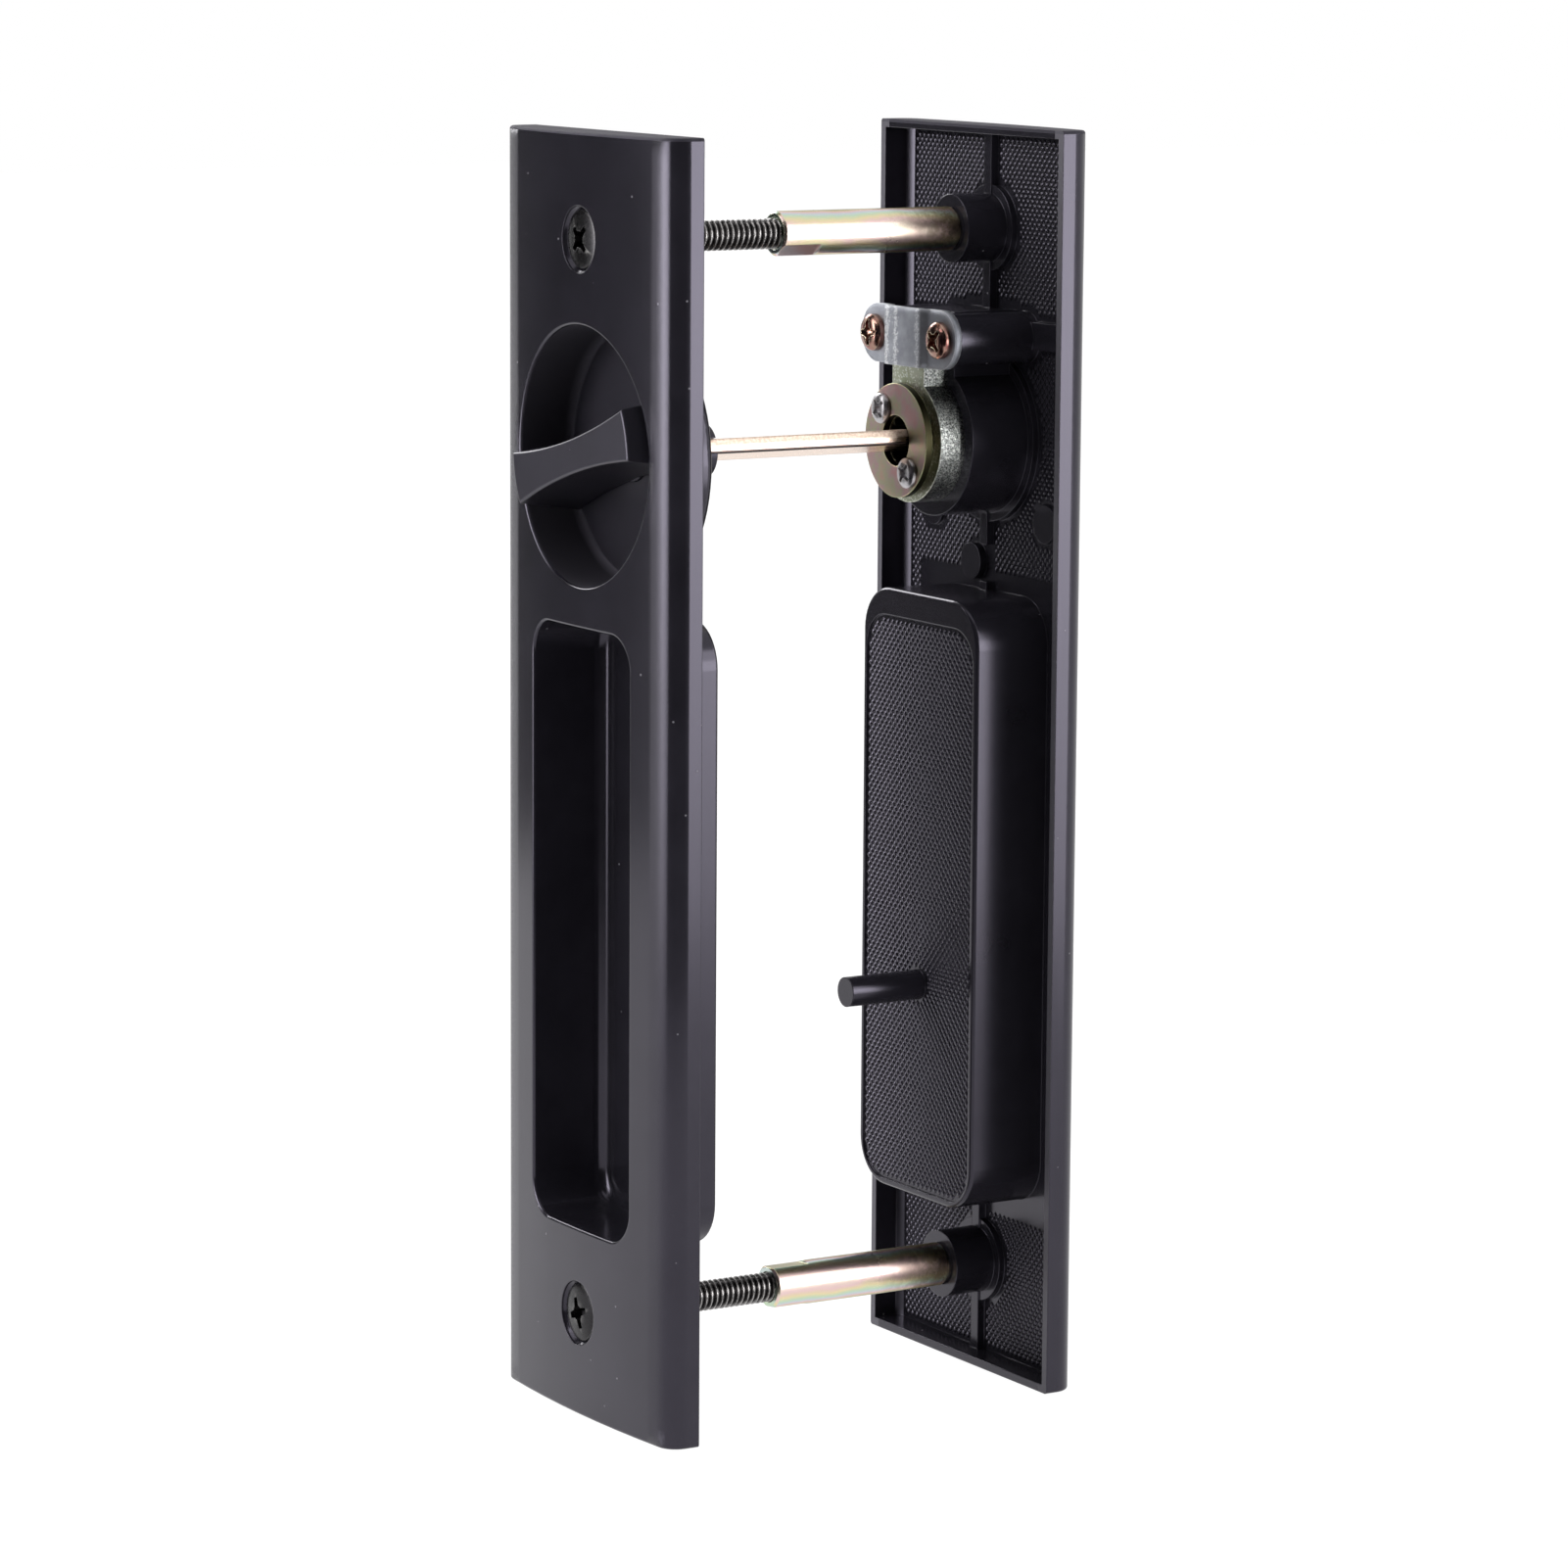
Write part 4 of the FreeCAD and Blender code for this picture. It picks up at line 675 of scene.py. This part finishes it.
def makeCopperPlate():
    paint, tree, shader, where = newFinish("copperPlate", (0.52, 0.38, 0.34), 1.0, 0.33)
    wear = useGroup(tree, "edgeWear", Reach=0.00022, Gain=6.0, Patch_Scale=1200.0, Patch_Cover=1.0)
    tint = noise(tree, where, 260.0, 3.0, 0.6)
    colour = colourRamp(tree, tint, [
        (0.3, (0.56, 0.31, 0.31)), (0.46, (0.50, 0.36, 0.35)), (0.55, (0.45, 0.43, 0.30)),
        (0.68, (0.55, 0.36, 0.30))])
    # painted shade: the disc's sides, the faces that don't look along Y, are coloured near black
    rim = spread(tree, facingY(tree), 1.0, 0.0, 0.35, 0.75)
    colour = mixColour(tree, rim, colour, (0.034, 0.031, 0.016))
    edge = mixColour(tree, spread(tree, tint, 0.0, 1.0, 0.4, 0.6), (0.72, 0.66, 0.38), (0.50, 0.56, 0.32))
    feed(tree, shader.inputs["Base Color"], mixColour(tree, wear["Mask"], colour, edge))
    fine = useGroup(tree, "castGrain", Scale=5200.0)["Height"]
    feed(tree, shader.inputs["Roughness"], spread(tree, fine, 0.28, 0.42))
    raised(tree, shader, fine, 0.00002, 0.25, wear["Rounded"])
    return paint


def makeCopperScrew():
    paint, tree, shader, where = newFinish("copperScrew", (0.50, 0.33, 0.25), 1.0, 0.2)
    wear = useGroup(tree, "edgeWear", Reach=0.00014, Gain=5.0, Patch_Scale=1500.0, Patch_Cover=0.9)
    tint = noise(tree, where, 700.0, 3.0, 0.6)
    colour = mixColour(tree, spread(tree, tint, 0.0, 1.0, 0.35, 0.65), (0.27, 0.11, 0.10), (0.34, 0.23, 0.18))
    feed(tree, shader.inputs["Base Color"], mixColour(tree, wear["Mask"], colour, (0.93, 0.84, 0.62)))
    raised(tree, shader, tint, 0.00002, 0.2, wear["Rounded"])
    return paint


def makeBrightZinc():
    paint, tree, shader, where = newFinish("brightZinc", (0.62, 0.61, 0.60), 1.0, 0.2)
    wear = useGroup(tree, "edgeWear", Reach=0.00012, Gain=4.0, Patch_Scale=1800.0, Patch_Cover=0.8)
    tint = noise(tree, where, 1200.0, 3.0, 0.6)
    colour = mixColour(tree, tint, (0.30, 0.29, 0.30), (0.56, 0.54, 0.56))
    feed(tree, shader.inputs["Base Color"], mixColour(tree, wear["Mask"], colour, (0.95, 0.94, 0.92)))
    feed(tree, shader.inputs["Roughness"], spread(tree, tint, 0.22, 0.36))
    raised(tree, shader, tint, 0.00002, 0.2, wear["Rounded"])
    return paint


# Painted highlights along the strap's bends: place across and half width, in metres
paintedCreaseHighlights = ((-0.0037, 0.00050), (-0.0016, 0.00036), (0.0036, 0.00020))


def makeStampedSteel():
    paint, tree, shader, where = newFinish("stampedSteel", (0.40, 0.41, 0.44), 1.0, 0.42)
    wear = useGroup(tree, "edgeWear", Reach=0.0003, Gain=2.2, Patch_Scale=2600.0, Patch_Cover=0.9)
    drawn = useGroup(tree, "edgeWear", Reach=0.0012)["Rounded"]
    fine = useGroup(tree, "castGrain", Scale=3600.0)["Height"]
    tint = noise(tree, where, 420.0, 4.0, 0.6)
    colour = mixColour(tree, spread(tree, tint, 0.0, 1.0, 0.3, 0.7), (0.31, 0.32, 0.36), (0.43, 0.445, 0.49))
    colour = mixColour(tree, wear["Mask"], colour, (0.86, 0.87, 0.90))
    wander = calc(tree, "SUBTRACT", noise(tree, where, 2400.0, 4.0, 0.8), 0.5)
    across = total(tree, axesOf(tree, where)["X"], product(tree, wander, 0.0040))
    # painted highlight: a pale, wandering band along each bend
    for crease, half in paintedCreaseHighlights:
        near = calc(tree, "ABSOLUTE", calc(tree, "SUBTRACT", across, crease))
        creaseHighlight = spread(tree, near, 1.0, 0.0, half * 0.4, half)
        colour = mixColour(tree, product(tree, creaseHighlight, 0.8), colour, (0.86, 0.87, 0.88))
    feed(tree, shader.inputs["Base Color"], colour)
    feed(tree, shader.inputs["Roughness"], spread(tree, fine, 0.40, 0.54))
    raised(tree, shader, fine, 0.00004, 0.3, drawn)
    return paint


# The blade is sheared from strip: its edges are drawn over at one face, and a groove's shade
# is painted as a dark band at the other. Places are in millimetres, across the strip's thickness and along
# its width.
roseBlade = {
    "streaks": (4000.0, 120.0, 4000.0),
    "strip": ((0.77, 0.55, 0.44), (0.82, 0.67, 0.55)),
    "worn": (0.88, 0.78, 0.66),
    "ragged": 0.2,
    "edgeFrom": 2.45,
    "drawnAt": (-0.15, 0.20), "drawnRough": 0.40,
    "drawn": ((0.78, 0.62, 0.51), (0.92, 0.79, 0.68)),
    # where the painted groove shade lies across the strip, its half widths, and its colour
    "grooveShadeAt": 0.84, "grooveShadeHalf": (0.12, 0.26),
    "grooveShade": (0.070, 0.055, 0.052),
}


def makeRoseBlade():
    paint, tree, shader, where = newFinish("roseBlade", (0.86, 0.66, 0.54), 1.0, 0.26)
    wear = useGroup(tree, "edgeWear", Reach=0.0003, Gain=3.0, Patch_Scale=1100.0, Patch_Cover=1.0)
    axes = axesOf(tree, where)
    drawn = addNode(tree, "ShaderNodeCombineXYZ")
    for axis, scale in zip("XYZ", roseBlade["streaks"]):
        feed(tree, drawn.inputs[axis], product(tree, axes[axis], scale))
    streak = noise(tree, drawn.outputs[0], 1.0, 3.0, 0.6)
    colour = mixColour(tree, spread(tree, streak, 0.0, 1.0, 0.35, 0.65), *roseBlade["strip"])
    colour = mixColour(tree, product(tree, wear["Mask"], 0.7), colour, roseBlade["worn"])

    level, lean = math.cos(math.radians(knobTilt)), math.sin(math.radians(knobTilt))
    up = calc(tree, "SUBTRACT", axes["Z"], turnAxis)
    across = calc(tree, "SUBTRACT", product(tree, up, level), product(tree, axes["X"], lean))
    along = total(tree, product(tree, up, lean), product(tree, axes["X"], level))
    wander = calc(tree, "SUBTRACT", streak, 0.5)
    ragged = total(tree, across, product(tree, wander, roseBlade["ragged"] * mm))
    edge = over(tree, calc(tree, "ABSOLUTE", along), roseBlade["edgeFrom"] * mm)
    drawnFrom, drawnFull = roseBlade["drawnAt"]
    drawnOver = product(tree, spread(tree, ragged, 0.0, 1.0, drawnFrom * mm, drawnFull * mm), edge)
    mottle = noise(tree, where, 2600.0, 3.0, 0.6)
    peach = mixColour(tree, spread(tree, mottle, 0.0, 1.0, 0.4, 0.6), *roseBlade["drawn"])
    colour = mixColour(tree, drawnOver, colour, peach)
    # painted shade: a dark band where the groove runs along the blade's edge
    inner, outer = roseBlade["grooveShadeHalf"]
    fromGrooveShade = calc(tree, "ABSOLUTE", total(tree, ragged, roseBlade["grooveShadeAt"] * mm))
    paintedGrooveShade = product(tree, spread(tree, fromGrooveShade, 1.0, 0.0, inner * mm, outer * mm), edge)
    feed(tree, shader.inputs["Base Color"], mixColour(tree, paintedGrooveShade, colour, roseBlade["grooveShade"]))
    rough = total(tree, spread(tree, streak, 0.2, 0.34), product(tree, drawnOver, roseBlade["drawnRough"]))
    feed(tree, shader.inputs["Roughness"], rough)
    raised(tree, shader, streak, 0.00001, 0.3, wear["Rounded"])
    return paint


def makeBrass(name, pale, dark):
    paint, tree, shader, where = newFinish(name, pale, 1.0, 0.26)
    wear = useGroup(tree, "edgeWear", Reach=0.00015, Gain=4.0, Patch_Scale=1200.0, Patch_Cover=0.8)
    tint = noise(tree, where, 500.0, 3.0, 0.6)
    colour = mixColour(tree, spread(tree, tint, 0.0, 1.0, 0.3, 0.7), dark, pale)
    colour = mixColour(tree, product(tree, wear["Mask"], 0.6), colour, (0.94, 0.88, 0.66))
    feed(tree, shader.inputs["Base Color"], colour)
    feed(tree, shader.inputs["Roughness"], spread(tree, tint, 0.22, 0.36))
    raised(tree, shader, tint, 0.00002, 0.2, wear["Rounded"])
    return paint


finishes = {name: makeCoat(name) for name in coatKinds}
for maker in (makeBlackNickel, makeYellowZinc, makeCastZinc, makeCopperPlate, makeCopperScrew, makeBrightZinc,
              makeStampedSteel, makeRoseBlade):
    made = maker()
    finishes[made.name] = made
for name, pale, dark in (
    ("plugZinc", (0.22, 0.21, 0.15), (0.12, 0.12, 0.09)),
    ("pinBrass", (0.80, 0.62, 0.30), (0.66, 0.48, 0.22)),
    ("springSteel", (0.50, 0.50, 0.50), (0.36, 0.36, 0.37)),
):
    finishes[name] = makeBrass(name, pale, dark)
print("handle set: %d finishes mixed" % len(finishes))

# Of what isn't named here, springs are steel and the rest is brass, as the pins are
wears = {
    "front_plate": "frontCoat", "rear_plate": "rearCoat", "thumb_knob": "knobCoat",
    "spindle_blade": "roseBlade", "spindle_pin": "springSteel", "flat_washer": "brightZinc",
    "spring_washer": "springSteel", "retaining_clip": "springSteel",
    "sleeve_upper": "yellowZinc", "sleeve_lower": "yellowZinc",
    "cylinder_body": "castZinc", "cylinder_plug": "plugZinc", "retainer_disc": "copperPlate",
    "clamp_strap": "stampedSteel", "pin_cover": "stampedSteel",
}


def dressNodes():
    for name, item in nodes.items():
        kind = wears.get(name, "springSteel" if "spring" in name else "pinBrass")
        for slot in item.material_slots:
            slot.material = finishes[kind]


dressNodes()


# Screws: turned head and threaded shank in one, with a tapered cross recess. nodes gives each
# screw's turn in degrees, head is (depth, radius) from its top and shank is where the thread
# starts and ends, in millimetres.
screws = {
    "plateScrew": {
        "nodes": {"plate_screw_upper": 45, "plate_screw_lower": 20},
        "body": "handle_set", "slot": "black_steel", "finish": "blackNickel",
        "head": [(0.0, 0.0), (0.028, 0.95), (0.113, 1.9), (0.256, 2.85), (0.375, 3.45), (0.45, 3.66),
                 (0.56, 3.75), (0.78, 3.75), (0.86, 3.68), (2.55, 2.0), (3.2, 1.9), (3.2, 0.0)],
        "shank": (2.9, 40.45), "pitch": 0.794, "crest": 1.99, "root": 1.52,
        "recess": {"span": 2.1, "wing": 0.5, "core": 0.98, "deep": 2.2},
    },
    "clampScrew": {
        "nodes": {"clamp_screw_left": 3, "clamp_screw_right": 42},
        "body": "handle_set", "slot": "copper_plate", "finish": "copperScrew",
        "head": [(0.0, 0.0), (0.02, 0.9), (0.09, 1.55), (0.28, 2.08), (0.6, 2.38), (0.9, 2.45),
                 (1.3, 2.45), (1.4, 2.36), (1.4, 1.2), (1.6, 1.2), (1.6, 0.0)],
        "shank": (1.5, 9.4), "pitch": 0.45, "crest": 1.25, "root": 0.98,
        "recess": {"span": 1.9, "wing": 0.44, "core": 0.82, "deep": 1.2},
    },
    "discScrew": {
        "nodes": {"disc_screw_upper": 38, "disc_screw_lower": 55},
        "body": "plug", "slot": "bright_steel", "finish": "brightZinc",
        "head": [(0.0, 0.0), (0.02, 0.75), (0.07, 1.3), (0.2, 1.72), (0.42, 1.97), (0.65, 2.05),
                 (0.84, 2.05), (0.9, 1.98), (0.9, 0.95), (1.1, 0.95), (1.1, 0.0)],
        "shank": (1.0, 5.4), "pitch": 0.4, "crest": 1.0, "root": 0.78,
        "recess": {"span": 1.62, "wing": 0.36, "core": 0.66, "deep": 0.85},
    },
}
recessMouth = (-0.6, 1.12)                 # starts clear above the head, a little wider
recessTaper = [(0.7, 0.72), (1.0, 0.3)]    # shares of the depth and of the width
screwSharp = 28                            # degrees from which an edge stays sharp


def meshObject(name, bm):
    mesh = bpy.data.meshes.new(name)
    bm.normal_update()
    bm.to_mesh(mesh)
    bm.free()
    return newObject(name, mesh)


def bridge(bm, first, second):
    for step in range(len(first)):
        after = (step + 1) % len(first)
        bm.faces.new((first[step], first[after], second[after], second[step]))


def lathe(name, profile, steps=64):
    bm = bmesh.new()
    rings = []
    for along, radius in profile:
        if radius == 0:
            rings.append([bm.verts.new((0, along * mm, 0))])
            continue
        turn = [2 * math.pi * step / steps for step in range(steps)]
        rings.append([bm.verts.new((radius * mm * math.cos(a), along * mm, radius * mm * math.sin(a)))
                      for a in turn])
    for first, second in zip(rings, rings[1:]):
        for step in range(steps):
            after = (step + 1) % steps
            corners = [first[step % len(first)], first[after % len(first)],
                       second[after % len(second)], second[step % len(second)]]
            bm.faces.new(list(dict.fromkeys(corners)))
    bmesh.ops.recalc_face_normals(bm, faces=bm.faces)
    return meshObject(name, bm)


def threadedRod(name, start, stop, pitch, crest, root, steps=28):
    shape = [(0.0, root), (0.14, root), (0.42, crest), (0.58, crest), (0.86, root)]
    bm = bmesh.new()
    rows = []
    for count in range((int((stop - start) / pitch) + 3) * steps + 1):
        angle = 2 * math.pi * count / steps
        row = []
        for share, radius in shape:
            along = start - pitch + pitch * (count / steps + share)
            fade = max(0, min(1, (along - start) / pitch, (stop - along) / pitch))
            along = max(start, min(stop, along))
            wide = (root + (radius - root) * fade) * mm
            row.append(bm.verts.new((wide * math.cos(angle), along * mm, wide * math.sin(angle))))
        rows.append(row)
    last = len(shape) - 1
    for count in range(len(rows) - 1):
        near, after = rows[count], rows[count + 1]
        for spot in range(last):
            bm.faces.new((near[spot], near[spot + 1], after[spot + 1], after[spot]))
        if count + steps + 1 < len(rows):
            bm.faces.new((near[last], rows[count + steps][0], rows[count + steps + 1][0], after[last]))
    bmesh.ops.remove_doubles(bm, verts=bm.verts, dist=1e-7)
    bmesh.ops.dissolve_degenerate(bm, edges=bm.edges, dist=1e-8)
    bmesh.ops.holes_fill(bm, edges=bm.edges)
    bmesh.ops.recalc_face_normals(bm, faces=bm.faces)
    return meshObject(name, bm)


def crossCutter(name, recess, turn):
    wing, core, span = recess["wing"], recess["core"], recess["span"]
    quarter = [(wing * 0.8, span), (wing, core), (core, wing), (span, wing * 0.8)]
    flat = []
    for side in range(4):
        angle = -math.pi / 2 * side + math.radians(turn)
        for x, z in quarter:
            flat.append((x * math.cos(angle) - z * math.sin(angle),
                         x * math.sin(angle) + z * math.cos(angle)))
    bm = bmesh.new()
    levels = [recessMouth] + [(recess["deep"] * share, size) for share, size in recessTaper]
    rings = [[bm.verts.new((x * size * mm, along * mm, z * size * mm)) for x, z in flat]
             for along, size in levels]
    for first, second in zip(rings, rings[1:]):
        bridge(bm, first, second)
    bm.faces.new(rings[0])
    bm.faces.new(rings[-1])
    bmesh.ops.recalc_face_normals(bm, faces=bm.faces)
    return meshObject(name, bm)


def combine(item, other, operation):
    change = item.modifiers.new(operation.lower(), "BOOLEAN")
    change.operation = operation
    change.solver = "EXACT"
    change.object = other
    graph = bpy.context.evaluated_depsgraph_get()
    mesh = bpy.data.meshes.new_from_object(item.evaluated_get(graph))
    item.modifiers.clear()
    item.data = mesh
    bpy.data.objects.remove(other)


def smoothOver(item, degrees):
    for face in item.data.polygons:
        face.use_smooth = True
    item.data.set_sharp_from_angle(angle=math.radians(degrees))


def makeScrews():
    for kind, spec in screws.items():
        for node, turn in spec["nodes"].items():
            low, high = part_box(node)
            piece = lathe(kind + "_" + node.split("_")[-1], spec["head"])
            rod = threadedRod("rod", *spec["shank"], spec["pitch"], spec["crest"], spec["root"])
            combine(piece, rod, "UNION")
            combine(piece, crossCutter("cross", spec["recess"], turn), "DIFFERENCE")
            smoothOver(piece, screwSharp)
            piece.data.materials.clear()
            piece.data.materials.append(finishes[spec["finish"]])
            place = Vector(((low.x + high.x) / 2, low.y, (low.z + high.z) / 2))
            piece.data.transform(Matrix.Translation(place))
            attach(piece, spec["body"])
            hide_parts(node)


makeScrews()
print("handle set: screws cut and threaded")


# Knurled cast floors and back panels, one small rhombic dome per cell, in millimetres. waist
# is how wide a dome still is and at which share of its height. field is middle, half sizes and
# corner round. A bare box is (x, z, half width, half height), a bare disc (x, z, radius).
floorKnurl = {"pitch": (1.08, 1.19), "high": 0.26, "waist": (0.62, 0.68), "finish": "knurlCoat",
              "field": (0.0, 83.0, 19.5, 81.7, 0.0)}
panelKnurl = {"pitch": (1.08, 1.19), "high": 0.28, "waist": (0.6, 0.68), "finish": "panelCoat",
              "field": (0.0, gripMiddle - 1.35, 13.1, 38.35, 4.6)}
domeFoot = 0.98        # width of a dome's foot in its cell
domeSunk = 0.012       # how far the foot stands in the casting
domeFaces = 9
domeSharp = 70
floorDeep = 1.7        # from the crown to the hollow's floor
panelDeep = 12.4
bothBare = [("box", 0.0, 83.0, 0.95, 90.0), ("box", 0.0, gripMiddle, 16.4, 43.0),
            ("disc", 0.0, 152.5, 6.0), ("disc", 0.0, 13.5, 6.0)]

castFloors = {
    "rearFloorKnurl": {
        **floorKnurl, "level": rearCrown / mm - floorDeep, "way": -1,
        "bare": bothBare + [
            ("box", 0.0, 139.0, 22.0, 2.0), ("box", 0.0, 133.5, 6.2, 9.6), ("disc", 0.0, 125.0, 11.7),
            ("disc", 8.0, 138.6, 3.9), ("disc", -8.0, 138.6, 3.9), ("disc", 13.5, 114.5, 3.0),
            ("disc", -13.5, 114.5, 3.0), ("disc", -3.1, 108.1, 2.8)],
    },
    "frontFloorKnurl": {
        **floorKnurl, "level": frontCrown / mm + floorDeep, "way": 1,
        "bare": bothBare + [
            ("disc", 0.0, 125.0, 18.6), ("disc", 13.5, 12.125, 3.0), ("disc", -13.5, 12.125, 3.0)],
    },
    "rearPanelKnurl": {
        **panelKnurl, "level": rearCrown / mm - panelDeep, "way": -1,
        "bare": [("disc", 0.0, 52.1, 2.05)],      # the locating stud
    },
    "frontPanelKnurl": {
        **panelKnurl, "level": frontCrown / mm + panelDeep, "way": 1,
        "bare": [],
    },
}


def inField(x, z, field, margin):
    midX, midZ, halfX, halfZ, corner = field
    overX = abs(x - midX) - (halfX - corner)
    overZ = abs(z - midZ) - (halfZ - corner)
    if corner and overX > 0 and overZ > 0:
        return math.hypot(overX, overZ) <= corner - margin
    return overX <= corner - margin and overZ <= corner - margin


def isBare(x, z, spots, margin):
    for kind, midX, midZ, *size in spots:
        if kind == "disc" and math.hypot(x - midX, z - midZ) < size[0] + margin:
            return True
        if kind == "box" and abs(x - midX) < size[0] + margin and abs(z - midZ) < size[1] + margin:
            return True
    return False


def addDome(bm, x, z, spec, base, shoulder, tip):
    wide, tall = spec["pitch"]
    corners = ((wide / 2, 0), (0, tall / 2), (-wide / 2, 0), (0, -tall / 2))
    foot, waist = [[bm.verts.new(((x + a * size) * mm, level, (z + b * size) * mm)) for a, b in corners]
                   for size, level in ((domeFoot, base), (spec["waist"][0], shoulder))]
    peak = bm.verts.new((x * mm, tip, z * mm))
    for step in range(4):
        after = (step + 1) % 4
        bm.faces.new((foot[step], foot[after], waist[after], waist[step]))
        bm.faces.new((waist[step], waist[after], peak))
    bm.faces.new(foot)


def makeKnurls():
    for name, spec in castFloors.items():
        wide, tall = spec["pitch"]
        midX, midZ, halfX, halfZ = spec["field"][:4]
        heights = (-domeSunk, spec["high"] * spec["waist"][1], spec["high"])
        base, shoulder, tip = [(spec["level"] + spec["way"] * height) * mm for height in heights]
        bm = bmesh.new()
        rows = int(2 * halfZ / tall) + 2
        columns = int(halfX / wide) + 2
        for row in range(-rows, rows + 1):
            z = midZ + row * tall / 2
            for column in range(-columns, columns + 1):
                x = midX + (column + 0.5 * (row % 2)) * wide
                if inField(x, z, spec["field"], wide * 0.5) and not isBare(x, z, spec["bare"], wide * 0.35):
                    addDome(bm, x, z, spec, base, shoulder, tip)
        bmesh.ops.recalc_face_normals(bm, faces=bm.faces)
        piece = meshObject(name, bm)
        smoothOver(piece, domeSharp)
        piece.data.materials.append(finishes[spec["finish"]])
        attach(piece, "handle_set")
        print("handle set: %s has %d points" % (name, len(piece.data.polygons) // domeFaces))


makeKnurls()
